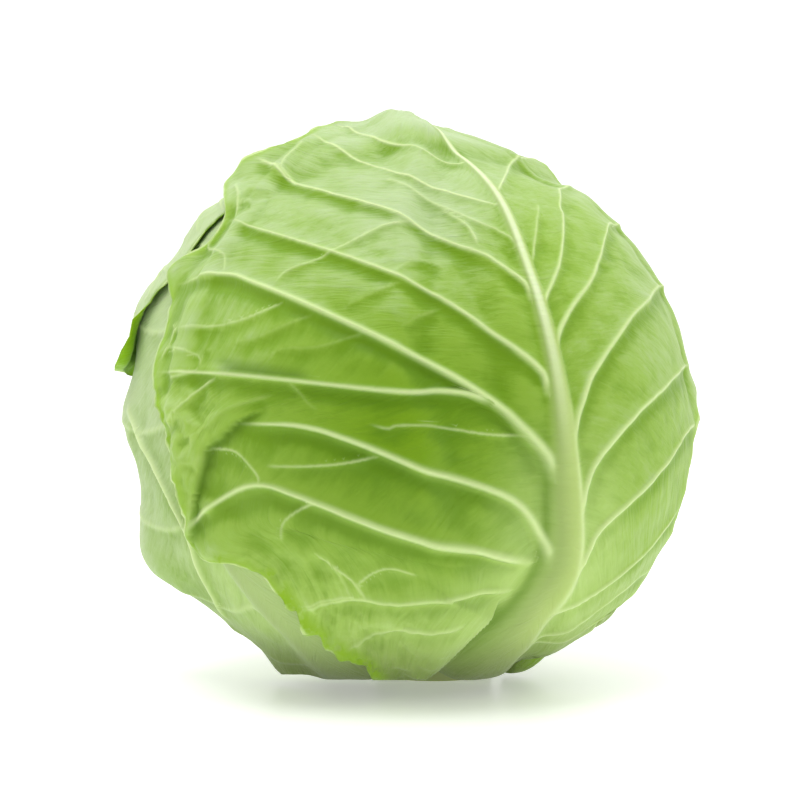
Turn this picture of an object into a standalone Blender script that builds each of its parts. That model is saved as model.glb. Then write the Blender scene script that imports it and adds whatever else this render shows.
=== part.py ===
"""A green cabbage: a dense heart on a cut stem, held by four wrapper leaves with raised ribs, veins and waved edges.

Each leaf is drawn flat, in degrees to the right and up, on a chart that is wrapped round the head, so its ribs and
its edge are plain curves. A leaf lies on those below it, and stands out over their edges and ribs.
"""
import math

import bmesh
import bpy
import numpy as np

MM = 0.001

# Head: the centre that all directions are taken from, with the middle of the cut stem at the origin
HEAD_CENTRE = np.array((-6.5, -8.0, 89.0)) * MM
HEART_LATITUDES = (-90, -75, -65, -55, -40, -25, -10, 5, 20, 35, 50, 65, 80, 90)
HEART_RADII = (76.5, 80.5, 86.5, 88.0, 87.5, 86.5, 84.0, 82.0, 80.5, 79.0, 78.5, 78.5, 80.0, 80.5)
HEART_LEAN = -1.7 * MM
HEART_SWELLINGS = ((-90, -32, 10, 9.4), (-90, -4, 9, 5.2), (-90, 19, 10, 4.0), (-76, -68, 9, 9.5),
                   (-84, 62, 9, 5.0), (-90, 40, 6, 3.0), (90, -71, 7.5, 8.5), (90, -59, 7, -1.2),
                   (90, -49, 6, 2.2), (90, -33, 8, -3.2), (90, -11, 7, 2.5), (90, 2, 6, -1.0),
                   (90, 58, 8, -2.0), (90, 72, 20, -4.0), (0, 90, 20, -1.5))
HEART_CLEARANCE = 1.0 * MM
HEART_RINGS = 30
HEART_SEGMENTS = 34
HEART_LEAF_STEP = 1.2 * MM
HEART_LEAF_FACINGS = (-70, 67, 205, -20)
HEART_LEAF_REACH = 112

# Cut stem, as radius and height along its side from the cut face up to its tip in the heart
STEM_SIDE = ((17.2, 0.0), (18.0, 0.8), (18.2, 6.0), (17.4, 11.0), (14.5, 18.0), (11.0, 26.0), (6.0, 32.0))
STEM_SIDES = 40
STEM_CLEARANCE = 0.5 * MM

# Leaves; a fold is its line on the chart, its height and its reach in millimetres
BLADE = 0.9 * MM
LAYER_GAP = 0.7 * MM
VEIN_WIDTH = 3.4 * MM
PANEL_REACH = 7.0 * MM
PLAIN_SPREAD = (0.12, 0.45, 0.74, 0.91, 0.99, 1.0, 0.93, 0.78, 0.56)
EDGE_RAMP = 15.0 * MM
EDGE_MARGIN = 3.0 * MM
RUFFLE_WIDTH = 15.0 * MM
LOWEST = 0.45 * MM
LEAVES_UNDER_HEART = 3.5 * MM
FRONT_FOOT = 10.0 * MM
FRONT_SLOPE = math.tan(math.radians(9.2))
RIB_COLUMNS = 2
SHORTEST_ROW_STEP = 0.013

# The back leaf's edge on the left of the head, drawn in low down and standing out over the left leaf higher up
BACK_EDGE = ((6, -70), (22, -64), (34, -54), (42, -42), (47, -28), (50, -14), (53, -4), (62, 4), (75, 7), (81, 11),
             (82, 18), (81, 26), (80, 34), (76, 46), (68, 58), (60, 70), (44, 86))

# Places across half a blade, from the midrib to the edge
BLADE_COLUMNS = (0.09, 0.19, 0.30, 0.41, 0.52, 0.63, 0.73, 0.82, 0.90, 0.955, 1.0)
CURL_WIDTH = 6.0 * MM
CURL_RADIUS = 4.3 * MM
CURL_SHAPE = ((0, 0), (0.05, 0.6), (0.2, 1), (0.4, 1), (0.55, 0.6), (0.75, 0.8), (1, 0))


def smooth_curve(points, steps=8):
    """Points along a Catmull-Rom curve through the control points."""
    p = np.array(points, float)
    p = np.vstack((2 * p[0] - p[1], p, 2 * p[-1] - p[-2]))
    t = np.linspace(0, 1, steps, endpoint=False)[:, None]
    spans = []
    for a, b, c, d in zip(p, p[1:], p[2:], p[3:]):
        bend = 2 * a - 5 * b + 4 * c - d
        twist = 3 * b - a - 3 * c + d
        spans.append(0.5 * (2 * b + (c - a) * t + bend * t**2 + twist * t**3))
    spans.append(p[-2:-1])
    return np.vstack(spans)


def smooth_step(x):
    """0 below 0, 1 above 1, and a soft rise between."""
    x = np.clip(x, 0, 1)
    return x * x * (3 - 2 * x)


class Curve:
    """A smooth curve on a chart, read by the share of its length."""

    def __init__(self, points):
        self.points = smooth_curve(points)
        lengths = np.linalg.norm(np.diff(self.points, axis=0), axis=1)
        self.shares = np.append(0, np.cumsum(lengths)) / lengths.sum()

    def at(self, share):
        return np.stack([np.interp(share, self.shares, self.points[:, i]) for i in (0, 1)], axis=-1)

    def nearest(self, point):
        return self.shares[np.argmin(np.linalg.norm(self.points - point, axis=1))]


def chart_axes(facing):
    """The directions out, right and up of a chart that faces this many degrees right of the front."""
    a = math.radians(facing)
    return np.array(((math.sin(a), -math.cos(a), 0), (math.cos(a), math.sin(a), 0), (0, 0, 1)))


def wrap(points, facing):
    """Directions from the head's centre for points on a chart."""
    out, right, up = chart_axes(facing)
    points = np.asarray(points, float)
    turn = np.radians(np.linalg.norm(points, axis=-1, keepdims=True))
    slant = np.radians(points) * np.sinc(turn / math.pi)
    return np.cos(turn) * out + slant[..., :1] * right + slant[..., 1:] * up


def unwrap(directions, facing):
    """Points on a chart for directions from the head's centre."""
    out, right, up = chart_axes(facing)
    turn = np.arccos(np.clip(directions @ out, -1, 1))
    stretch = np.degrees(1 / np.maximum(np.sinc(turn / math.pi), 1e-6))
    return np.stack((directions @ right * stretch, directions @ up * stretch), axis=-1)


def distance_along(directions, line):
    """The distance of each direction from a line of directions, on the head, and the share along it that is nearest."""
    best = np.full(directions.shape[:-1], np.inf)
    share = np.zeros(directions.shape[:-1])
    for i, (a, b) in enumerate(zip(line, line[1:])):
        step = b - a
        t = np.clip((directions - a) @ step / (step @ step), 0, 1)
        gap = np.linalg.norm(directions - a - t[..., None] * step, axis=-1)
        nearer = gap < best
        best[nearer] = gap[nearer]
        share[nearer] = (i + t[nearer]) / (len(line) - 1)
    return best * HEAD_CENTRE[2], share


def inside(points, outline):
    """Whether each chart point lies in a closed outline."""
    odd = np.zeros(points.shape[:-1], bool)
    x, y = points[..., 0], points[..., 1]
    for (ax, ay), (bx, by) in zip(outline, np.roll(outline, -1, axis=0)):
        if ay != by:
            crosses = (ay > y) != (by > y)
            odd ^= crosses & (x < ax + (y - ay) * (bx - ax) / (by - ay))
    return odd


def chart_point(facing, latitude):
    """The direction this many degrees right of the front and above the middle."""
    out, _, up = chart_axes(facing)
    return out * math.cos(math.radians(latitude)) + up * math.sin(math.radians(latitude))


def lowest_radius(directions):
    """How far a leaf may reach down: to just over the ground, and a little higher in front of the foot."""
    down, ahead = np.maximum(-directions[..., 2], 1e-3), np.maximum(-directions[..., 1], 0)
    height = HEAD_CENTRE[2] - LOWEST
    return np.minimum(height / down, (height + FRONT_SLOPE * FRONT_FOOT) / (down + FRONT_SLOPE * ahead))


def heart_radius(directions):
    """The radius of the packed heart, which the leaves lie on."""
    latitude = np.degrees(np.arcsin(np.clip(directions[..., 2], -1, 1)))
    fine = smooth_curve(list(zip(HEART_LATITUDES, HEART_RADII)))
    radius = np.interp(latitude, fine[:, 0], fine[:, 1]) + HEART_LEAN / MM * directions[..., 0]
    for facing, height, width, swell in HEART_SWELLINGS:
        turn = np.degrees(np.arccos(np.clip(directions @ chart_point(facing, height), -1, 1)))
        radius += swell * np.exp(-((turn / width) ** 2))
    return np.minimum(radius * MM, lowest_radius(directions) - LEAVES_UNDER_HEART)


class Leaf:
    """A wrapper leaf: its curves on its chart, and how high its ribs stand."""

    vein_height = 1.8 * MM
    panel_swell = 0.2 * MM
    ruffle = 1.8 * MM
    phase = 1.0
    branches = ()
    folds = ()
    curl = None

    def __init__(self, name, facing, midrib, rib_widths, rib_height, halves):
        self.name = name
        self.facing = facing
        self.midrib = Curve(midrib)
        self.rib_widths = np.array(rib_widths) * MM
        self.rib_height = rib_height * MM
        self.rows, self.starts, self.edges, self.ends = {}, {}, {}, {}
        for side, (base, veins, edge, tip) in halves.items():
            rows = [Curve(base)] + [Curve(vein) for vein in veins] + [Curve(tip)]
            self.edges[side] = Curve(edge)
            self.rows[side] = rows
            self.starts[side] = [0] + [self.midrib.nearest(row.points[0]) for row in rows[1:-1]] + [1]
            self.ends[side] = [0] + [self.edges[side].nearest(row.points[-1]) for row in rows[1:-1]] + [1]

    def outline(self):
        """The leaf's edge on its chart, round from the base."""
        left, right = self.edges[-1], self.edges[1]
        tips = self.rows[-1][-1].points[::-1], self.rows[1][-1].points
        return np.vstack((left.points, *tips, right.points[::-1]))

    def rib_width(self, share):
        return np.interp(share, np.linspace(0, 1, len(self.rib_widths)), self.rib_widths)

    def rib_rise(self, directions, spread=1.0):
        """How far the midrib stands out, broad and round, with its full height at the base."""
        gap, share = distance_along(directions, wrap(self.midrib.points[::2], self.facing))
        half = self.rib_width(share) / 2 * spread
        height = self.rib_height * self.rib_width(share) / self.rib_widths[0]
        return height * np.exp(-((gap / half) ** 4) * 0.7)

    def vein_rise(self, directions):
        """How far the side veins stand out, and how far the panels between them swell."""
        rise = np.zeros(directions.shape[:-1])
        nearest = np.full(directions.shape[:-1], np.inf)
        rows = [row for side in self.rows for row in self.rows[side][1:-1]]
        for row in [*rows, *self.branches]:
            gap, share = distance_along(directions, wrap(row.points[::2], self.facing))
            taper = 1 - 0.5 * share
            rise = np.maximum(rise, self.vein_height * taper * np.exp(-((gap / (VEIN_WIDTH * taper)) ** 2)))
            nearest = np.minimum(nearest, gap)
        return rise + self.panel_swell * (1 - np.exp(-((nearest / PANEL_REACH) ** 2)))

    def fold_rise(self, directions):
        """How far the leaf stands up on one side of each line along which a lobe of it is folded over the next."""
        rise = np.zeros(directions.shape[:-1])
        for fold, height, reach in self.folds:
            line = fold.points
            gap, share = distance_along(directions, wrap(line, self.facing))
            points = unwrap(directions, self.facing)
            place = np.clip((share * (len(line) - 1)).astype(int), 0, len(line) - 2)
            run, away = line[place + 1] - line[place], points - line[place]
            outside = run[..., 0] * away[..., 1] < run[..., 1] * away[..., 0]
            ends = smooth_step(share / 0.25) * smooth_step((1 - share) / 0.2)
            rise += np.where(outside, height * MM * ends * np.exp(-((gap / MM / reach) ** 2)), 0)
        return rise

    def depth_in(self, directions):
        """Distance from the leaf's edge, above zero inside the leaf."""
        outline = self.outline()
        gap, _ = distance_along(directions, wrap(np.vstack((outline, outline[:1]))[::3], self.facing))
        return np.where(inside(unwrap(directions, self.facing), outline), gap, -gap)

    def cover(self, directions):
        """1 on the leaf and just round it, falling to 0 a short way outside its edge."""
        return smooth_step((self.depth_in(directions) + EDGE_RAMP) / (EDGE_RAMP - EDGE_MARGIN))

    def lift(self, directions):
        """How far a leaf on top of this one is raised by it."""
        layer = BLADE + LAYER_GAP + self.vein_height + self.panel_swell
        return self.cover(directions) * (layer + self.rib_rise(directions, 1.3))

    def chart(self, shares, rib_share):
        """The leaf's grid on its chart: a row for each share of the midrib's length, from its left edge to its right."""
        halves = []
        for side in (-1, 1):
            number = np.interp(shares, self.starts[side], np.arange(len(self.starts[side])))
            middle = self.midrib.at(shares)
            edge = self.edges[side].at(np.interp(number, np.arange(len(self.ends[side])), self.ends[side]))
            grid = []
            for n, m, e, rib in zip(number, middle, edge, rib_share[side]):
                inner = np.linspace(0, rib, RIB_COLUMNS + 1)
                w = np.append(inner, rib + (1 - rib) * np.array(BLADE_COLUMNS))
                k = min(int(n), len(self.rows[side]) - 2)
                low, high = self.rows[side][k].at(w), self.rows[side][k + 1].at(w)
                line = low + (high - low) * (n - k)
                w = w[:, None]
                grid.append(line + (1 - w) * (m - line[0]) + w * (e - line[-1]))
            halves.append(np.array(grid))
        left, right = halves
        return np.concatenate((left[:, :0:-1], right), axis=1)

    def grid(self, shares):
        """The grid with its columns gathered on the midrib's edges."""
        loose = self.chart(shares, {side: [0.1] * len(shares) for side in (-1, 1)})
        middle = loose.shape[1] // 2
        halves = {-1: loose[:, middle::-1], 1: loose[:, middle:]}
        rib_share = {}
        for side, half in halves.items():
            steps = np.linalg.norm(np.diff(wrap(half, self.facing), axis=1), axis=2)
            reach = steps.sum(axis=1) * HEAD_CENTRE[2]
            rib_share[side] = np.clip(self.rib_width(shares) / 2 / reach, 0.02, 0.6)
        return self.chart(shares, rib_share)

    def shares(self, spacing):
        """Shares of the midrib's length with a row on every side vein, and more between where they lie far apart."""
        veins = sorted({round(share, 3) for side in self.starts for share in self.starts[side]})
        kept = [veins[0]]
        for share in veins[1:]:
            if share - kept[-1] > SHORTEST_ROW_STEP:
                kept.append(share)
        kept[-1] = 1.0
        lines = [self.midrib.at(kept)]
        for side in (-1, 1):
            number = np.interp(kept, self.starts[side], np.arange(len(self.starts[side])))
            lines.append(self.edges[side].at(np.interp(number, np.arange(len(self.ends[side])), self.ends[side])))
        widest = np.max([np.linalg.norm(np.diff(line, axis=0), axis=1) for line in lines], axis=0)
        rows = []
        for a, b, width in zip(kept, kept[1:], widest):
            rows += list(np.linspace(a, b, max(1, round(width / spacing)), endpoint=False))
        return np.array(rows + [1.0])


def ruffle(leaf, directions, above):
    """How far the leaf's edge stands off in waves, where no other leaf holds it down."""
    free = np.ones(directions.shape[:-1])
    for other in above:
        free *= 1 - other.cover(directions)
    near = np.clip(1 - leaf.depth_in(directions) / RUFFLE_WIDTH, 0, 1) ** 2
    x, y = np.moveaxis(unwrap(directions, leaf.facing), -1, 0)
    round_leaf = np.arctan2(y, x)
    wave = np.sin(9 * round_leaf + leaf.phase) + 0.6 * np.sin(17 * round_leaf + 2 * leaf.phase)
    return leaf.ruffle * free * near * (1 + 0.5 * wave) * smooth_step((y + 70) / 25)


def faces_of_leaf(leaf, below, above, directions):
    """The radii of the leaf's inner and outer face."""
    base = heart_radius(directions) + LAYER_GAP
    for other in below:
        base += other.lift(directions)
    inner = base + ruffle(leaf, directions, above) + leaf.fold_rise(directions)
    rise = leaf.vein_rise(directions)
    outer = inner + BLADE + rise + leaf.rib_rise(directions)
    inner += np.minimum(rise, leaf.panel_swell) * 0.5
    outer = np.minimum(outer, lowest_radius(directions))
    return np.minimum(inner, outer - BLADE), outer


def new_material(name, colour, roughness):
    material = bpy.data.materials.new(name)
    material.use_nodes = True
    shader = material.node_tree.nodes["Principled BSDF"]
    shader.inputs["Base Color"].default_value = (*colour, 1)
    shader.inputs["Roughness"].default_value = roughness
    shader.inputs["Metallic"].default_value = 0
    return material


def new_object(name, bm, collection, material=None):
    """An object with the mesh that was made, shaded smooth."""
    bmesh.ops.recalc_face_normals(bm, faces=bm.faces)
    mesh = bpy.data.meshes.new(name)
    bm.to_mesh(mesh)
    bm.free()
    mesh.shade_smooth()
    obj = bpy.data.objects.new(name, mesh)
    collection.objects.link(obj)
    if material:
        mesh.materials.append(material)
    return obj


def roll_edge(leaf, chart, inner, outer):
    """Rolls the leaf's edge outward on one side, in a stretch between two heights on the chart."""
    side, low, high = leaf.curl
    heights = np.clip((chart[:, -1 if side > 0 else 0, 1] - low) / (high - low), 0, 1)
    middle = inner.shape[1] // 2
    columns = range(middle, inner.shape[1]) if side > 0 else range(middle, -1, -1)
    for row, strength in enumerate(np.interp(heights, *zip(*CURL_SHAPE))):
        radius = CURL_RADIUS / max(strength, 1e-3)
        line = outer[row, columns].copy()
        length = np.append(0, np.cumsum(np.linalg.norm(np.diff(line, axis=0), axis=1)))
        along = (line[-1] - line[-3]) / np.linalg.norm(line[-1] - line[-3])
        for column, reach in zip(columns, length - length[-1] + CURL_WIDTH):
            if reach > 0:
                away = line[-1] - HEAD_CENTRE
                away /= np.linalg.norm(away)
                turn = reach / radius
                for face, offset in ((inner, -BLADE / 2), (outer, BLADE / 2)):
                    arc = radius - offset
                    root = face[row, column] - along * reach - away * offset
                    face[row, column] = root + along * arc * math.sin(turn) + away * (radius - arc * math.cos(turn))


def build_leaf(leaf, spacing, below, above, collection, material):
    """A grid bent to the leaf's outer face, split into triangles and extruded to its inner face."""
    chart = leaf.grid(leaf.shares(spacing))
    directions = wrap(chart, leaf.facing)
    inner, outer = (HEAD_CENTRE + directions * r[..., None] for r in faces_of_leaf(leaf, below, above, directions))
    if leaf.curl:
        roll_edge(leaf, chart, inner, outer)
    inner, outer = inner.reshape(-1, 3), outer.reshape(-1, 3)
    rows, columns = chart.shape[:2]
    bm = bmesh.new()
    serial = bm.verts.layers.int.new("serial")
    bmesh.ops.create_grid(bm, x_segments=columns - 1, y_segments=rows - 1, size=0.5)
    for vert in bm.verts:
        column = round((vert.co.x + 0.5) * (columns - 1))
        row = round((vert.co.y + 0.5) * (rows - 1))
        vert[serial] = row * columns + column
    bmesh.ops.triangulate(bm, faces=bm.faces, quad_method="ALTERNATE")
    extruded = bmesh.ops.extrude_face_region(bm, geom=bm.faces[:], use_keep_orig=True)["geom"]
    back = {item for item in extruded if isinstance(item, bmesh.types.BMVert)}
    for vert in bm.verts:
        vert.co = inner[vert[serial]] if vert in back else outer[vert[serial]]
    bmesh.ops.triangulate(bm, faces=[face for face in bm.faces if len(face.verts) > 3])
    return new_object(leaf.name, bm, collection, material)


def front_leaf():
    midrib = ((14.5, -76.5), (16, -68), (17.5, -61), (23.5, -49.5), (28.5, -40), (31.5, -29.5), (31.5, -15.5),
              (30.5, -1), (29.5, 10), (27.5, 23.5), (25.5, 34), (21, 54), (14, 70), (5, 82), (2, 94), (2, 106))
    left_edge = ((9, -74), (5, -69), (-2, -66), (-8, -61), (-10, -54), (-15.5, -48.5), (-20.5, -44),
                 (-24.5, -38.7), (-28.5, -33.5), (-32.5, -30.6), (-37.5, -29), (-46, -30.5), (-47.5, -25.5),
                 (-47, -20.5), (-50, -15),
                 (-57, -6), (-61.5, 3), (-64, 10),
                 (-64, 17), (-65, 27), (-67, 38), (-58, 44.5), (-51, 52.5), (-56, 65.5), (-42.5, 70.5),
                 (-30, 76), (-25, 88))
    right_edge = ((21, -79), (25, -71), (30, -66.5), (35, -64.5), (46, -62), (52, -55), (62.5, -53), (68, -48),
                  (71, -41), (74, -32), (78.5, -22.5), (83, -15), (93, -5), (99, 8), (101, 22), (98, 38), (90, 55),
                  (78, 70), (64, 83), (50, 94))
    left_veins = (
        ((19.5, -58), (6, -57), (-4, -58), (-9, -58.5)),
        ((24.5, -46.5), (17.5, -42.5), (9.4, -41.8), (3, -43), (-3, -42.8), (-9, -45), (-15.5, -48.5)),
        ((29, -39), (20, -36.8), (11.4, -35.4), (5, -35.2), (-3, -36), (-12, -35.5), (-18, -37), (-24.5, -38.7)),
        ((31.5, -32), (24, -30), (14.5, -26.5), (-3, -20.5), (-21, -14.5), (-32, -12.5), (-42, -18), (-47, -24)),
        ((31.5, -24), (20, -15.5), (4, -9), (-12.5, -2.5), (-23.5, 0), (-38, -0.5), (-47, -5), (-57.5, -7)),
        ((31, -12), (20.5, -3), (9, 6.5), (-3, 7), (-25, 9), (-45, 10), (-64, 9.5)),
        ((30.8, -6), (22, -0.5), (16, 5), (4.5, 12), (-15, 21.5), (-35, 30), (-46, 33.5), (-66.5, 33)),
        ((29, 9), (19, 18.5), (5, 27.5), (-16, 36.5), (-36.5, 44.5), (-52, 51.5)),
        ((26.5, 27), (15, 38), (-4.5, 47.5), (-29.5, 58.5), (-38, 65), (-46, 69.5)),
        ((21.5, 51), (9, 54), (-3, 60), (-14, 66), (-30, 76)),
        ((14.5, 68), (6.5, 67), (-9.5, 72.5), (-25, 85)),
    )
    right_veins = (
        ((20.5, -56), (33, -57), (46, -56), (53, -54.5)),
        ((25.5, -46), (37, -50.5), (54, -45), (69, -46)),
        ((29.5, -37.5), (41, -39), (58, -35), (75, -29)),
        ((31.5, -28), (41, -23), (58, -15), (75, -8), (90, -8)),
        ((31.5, -14), (40, -7), (55, 2.5), (77, 10), (99.5, 10)),
        ((30.5, -1), (36, 7), (49.5, 20.5), (62, 28), (80, 37), (98, 37)),
        ((29, 14), (35.5, 25.5), (44.5, 33), (62, 53), (85, 61)),
        ((27.5, 24), (32, 33), (40.5, 48.5), (54, 71), (69, 79)),
        ((20.5, 55), (26, 66), (33, 80), (45, 92), (51, 93.5)),
    )
    branches = (
        ((25, 33), (22, 42), (12, 47), (-3, 57), (-8, 59)),
        ((-29, 25.5), (-39, 21.5), (-57.5, 20)),
        ((-12, -36), (-16, -28), (-19, -25)),
        ((27, 36), (30, 46.5), (33, 55)),
    )
    left = (midrib[0], left_edge[0]), left_veins, left_edge, (midrib[-1], (-10, 98), left_edge[-1])
    right = (midrib[0], right_edge[0]), right_veins, right_edge, (midrib[-1], (18, 106), (34, 102), right_edge[-1])
    rib_widths = (22, 22, 19, 14, 11, 9, 7.5, 6, 5, 4, 3, 2.5, 2)
    leaf = Leaf("leaf_front", 0, midrib, rib_widths, 5.5, {-1: left, 1: right})
    leaf.vein_height, leaf.panel_swell, leaf.ruffle, leaf.phase = 2.6 * MM, 0.5 * MM, 1.4 * MM, 0.4
    leaf.branches = [Curve(branch) for branch in branches]
    side_fold = ((-29, 2.3), (-33, 1.8), (-36, 0.1), (-39.3, -2.9), (-42.9, -5.5), (-44.3, -10), (-44.8, -16),
                 (-45.2, -21), (-46.5, -26), (-47, -31))
    foot_fold = (19, -38.5), (17, -42), (14.5, -44.5), (11.5, -48), (8.5, -51.5), (5.5, -55), (1, -59), (-4, -66)
    leaf.folds = ((Curve(side_fold), 2.6, 13), (Curve(foot_fold), 4.2, 15))
    return leaf


def plain_leaf(name, facing, midrib, half_widths, rib_widths, rib_height, right_edge=None):
    """A leaf with even curves: its edges widen from the stem and close over the crown."""
    rib = Curve(midrib)
    halves = {}
    for side, width in zip((-1, 1), half_widths):
        edge = right_edge if side > 0 and right_edge else even_edge(rib, side * width, facing + side)
        top = rib.at(1.0)
        tip = (top, top + (side * width * 0.28, -3), edge[-1])
        veins = plain_veins(side, rib, Curve(edge), 6)
        halves[side] = (midrib[0], edge[0]), veins, edge, tip
    return Leaf(name, facing, midrib, rib_widths, rib_height, halves)


def even_edge(rib, width, phase):
    """An edge that swells out from the midrib and back, with shallow notches."""
    edge = []
    for i, (share, place) in enumerate(zip(PLAIN_SPREAD, np.linspace(0.02, 0.93, len(PLAIN_SPREAD)))):
        notch = 1 + 0.035 * math.sin(2.6 * i + phase)
        edge.append(rib.at(place) + (width * share * notch, 0))
    return edge


def plain_veins(side, rib, edge, count):
    """Side veins that leave the midrib low and bow up to the edge."""
    veins = []
    for i in range(count):
        share = (i + 0.7) / (count + 0.6)
        start = rib.at(0.05 + 0.78 * share)
        end = edge.at(0.06 + 0.9 * share**0.9)
        span = end - start
        sag = np.array((side * span[1], -abs(span[0]))) * 0.09
        veins.append((start, start + span * 0.35 + sag, start + span * 0.7 + sag * 0.8, end))
    return veins


def build_heart(collection, cutters, material):
    """A ball of packed leaves, whose edges step down round the crown, bored out for the stem."""
    bm = bmesh.new()
    bmesh.ops.create_uvsphere(bm, u_segments=HEART_SEGMENTS, v_segments=HEART_RINGS, radius=1)
    directions = np.array([vert.co.normalized() for vert in bm.verts])
    radius = heart_radius(directions)
    top_leaf = np.zeros(len(directions))
    for facing in reversed(HEART_LEAF_FACINGS):
        points = unwrap(directions, facing)
        under = smooth_step((np.hypot(points[:, 0], points[:, 1]) - HEART_LEAF_REACH) / 8 + 0.5)
        top_leaf = under * (top_leaf + 1)
    radius -= HEART_CLEARANCE + HEART_LEAF_STEP * top_leaf
    for vert, direction, length in zip(bm.verts, directions, radius):
        vert.co = HEAD_CENTRE + direction * length
    bmesh.ops.triangulate(bm, faces=bm.faces)
    heart = new_object("heart", bm, collection, material)
    bore = turned("stem_bore", STEM_CLEARANCE, cutters)
    bore.display_type = "WIRE"
    bore.hide_render = True
    cut = heart.modifiers.new("stem bore", "BOOLEAN")
    cut.operation = "DIFFERENCE"
    cut.object = bore
    return heart


def turned(name, clearance, collection, material=None):
    """The stem's side turned round its axis, grown by a clearance."""
    side = [(radius * MM + clearance, height * MM) for radius, height in STEM_SIDE]
    side[-1] = (side[-1][0], side[-1][1] + clearance)
    side[0] = (side[0][0], side[0][1] - clearance * 20)
    bm = bmesh.new()
    profile = [bm.verts.new((0, 0, side[0][1]))]
    profile += [bm.verts.new((radius, 0, height)) for radius, height in side]
    profile.append(bm.verts.new((0, 0, side[-1][1])))
    edges = [bm.edges.new(pair) for pair in zip(profile, profile[1:])]
    bmesh.ops.spin(bm, geom=profile + edges, axis=(0, 0, 1), cent=(0, 0, 0), steps=STEM_SIDES, angle=2 * math.pi)
    bmesh.ops.remove_doubles(bm, verts=bm.verts, dist=1e-6)
    return new_object(name, bm, collection, material)


def build():
    for obj in list(bpy.data.objects):
        bpy.data.objects.remove(obj)
    cabbage = bpy.data.collections.new("green_cabbage")
    cutters = bpy.data.collections.new("cutters")
    for collection in (cabbage, cutters):
        bpy.context.scene.collection.children.link(collection)
    leaf_green = new_material("leaf_green", (0.30, 0.46, 0.13), 0.45)
    heart_green = new_material("heart_green", (0.52, 0.62, 0.30), 0.45)
    stem_pale = new_material("stem_pale", (0.66, 0.66, 0.42), 0.6)
    right = plain_leaf("leaf_right", 92, ((-0.2, -72), (1, -45), (3, 0), (2, 50), (0, 92)), (66, 66),
                       (17, 14, 10, 7, 4, 2), 4.2)
    left = plain_leaf("leaf_left", -60, ((6, -79), (16, -66), (22, -52), (20, -40), (16, -28), (12, -15), (8, 0),
                      (4, 20), (2, 45), (0, 65), (0, 84)), (72, 48), (24, 23, 18, 12, 8, 5, 3), 4.6)
    back = plain_leaf("leaf_back", -165, ((-8, -70), (-4, -45), (3, 0), (4, 50), (0, 100)), (56, 82),
                      (20, 17, 12, 8, 5, 2), 4.6, BACK_EDGE)
    back.ruffle, back.phase, back.curl = 0.8 * MM, 3.1, (1, 5, 30)
    front = front_leaf()
    order = (right, left, back, front)
    spacings = (9.5, 9.5, 9, 7.5)
    build_heart(cabbage, cutters, heart_green)
    turned("cut_stem", 0, cabbage, stem_pale)
    for i, (leaf, spacing) in enumerate(zip(order, spacings)):
        build_leaf(leaf, spacing, order[:i], order[i + 1:], cabbage, leaf_green)


build()
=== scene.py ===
"""The looks of a green cabbage: four veined wrapper leaves round a packed heart, on a cut stem."""
import math
import random
from types import SimpleNamespace

import bpy
import numpy as np
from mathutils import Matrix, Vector, noise


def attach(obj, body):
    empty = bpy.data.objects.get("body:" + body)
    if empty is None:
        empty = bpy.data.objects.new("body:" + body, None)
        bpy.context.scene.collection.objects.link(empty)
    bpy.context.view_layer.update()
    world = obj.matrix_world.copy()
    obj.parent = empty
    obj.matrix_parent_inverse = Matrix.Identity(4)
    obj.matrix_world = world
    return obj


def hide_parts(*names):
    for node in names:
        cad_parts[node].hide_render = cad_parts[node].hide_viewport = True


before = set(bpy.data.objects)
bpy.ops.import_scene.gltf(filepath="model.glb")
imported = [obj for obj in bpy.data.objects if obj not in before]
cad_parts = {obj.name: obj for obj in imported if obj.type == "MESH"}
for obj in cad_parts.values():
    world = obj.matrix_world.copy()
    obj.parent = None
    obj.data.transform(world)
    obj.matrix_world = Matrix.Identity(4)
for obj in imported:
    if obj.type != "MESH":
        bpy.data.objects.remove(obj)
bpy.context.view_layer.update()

MM = 0.001

# Head, as the CAD has it
HEAD_CENTRE = np.array((-6.5, -8.0, 89.0)) * MM
HEART_LATITUDES = (-90, -75, -65, -55, -40, -25, -10, 5, 20, 35, 50, 65, 80, 90)
HEART_RADII = (76.5, 80.5, 86.5, 88.0, 87.5, 86.5, 84.0, 82.0, 80.5, 79.0, 78.5, 78.5, 80.0, 80.5)
HEART_LEAN = -1.7 * MM
HEART_SWELLINGS = ((-90, -32, 10, 9.4), (-90, -4, 9, 5.2), (-90, 19, 10, 4.0), (-76, -68, 9, 9.5),
                   (-84, 62, 9, 5.0), (-90, 40, 6, 3.0), (90, -71, 7.5, 5.0), (90, -59, 7, -1.8),
                   (90, -49, 6, 2.2), (90, -33, 8, -3.2), (90, -11, 7, 2.5), (90, 2, 6, -1.0),
                   (90, 51, 6, 1.8), (90, 58, 8, -2.0), (90, 72, 20, -4.0), (0, 90, 20, -1.5))
HEART_CLEARANCE = 1.0 * MM

# Packed leaves on the heart: the ways they face, the degrees they reach round, and the step at their edges
HEAD_LEAVES = -20, 205, 67, -70
HEAD_LEAF_REACH = 112
HEAD_LEAF_STEP = 1.2 * MM

# Cut stem: the radii and heights of its side in millimetres, and the widths of the rings on its cut
STEM_SIDE = ((17.2, 0.0), (18.0, 0.8), (18.2, 6.0), (17.4, 11.0), (14.5, 18.0), (11.0, 26.0), (6.0, 32.0))
STEM_RINGS = 0.9, 2.4, 3.0, 4.0
STEM_SEGMENTS = 96

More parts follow.
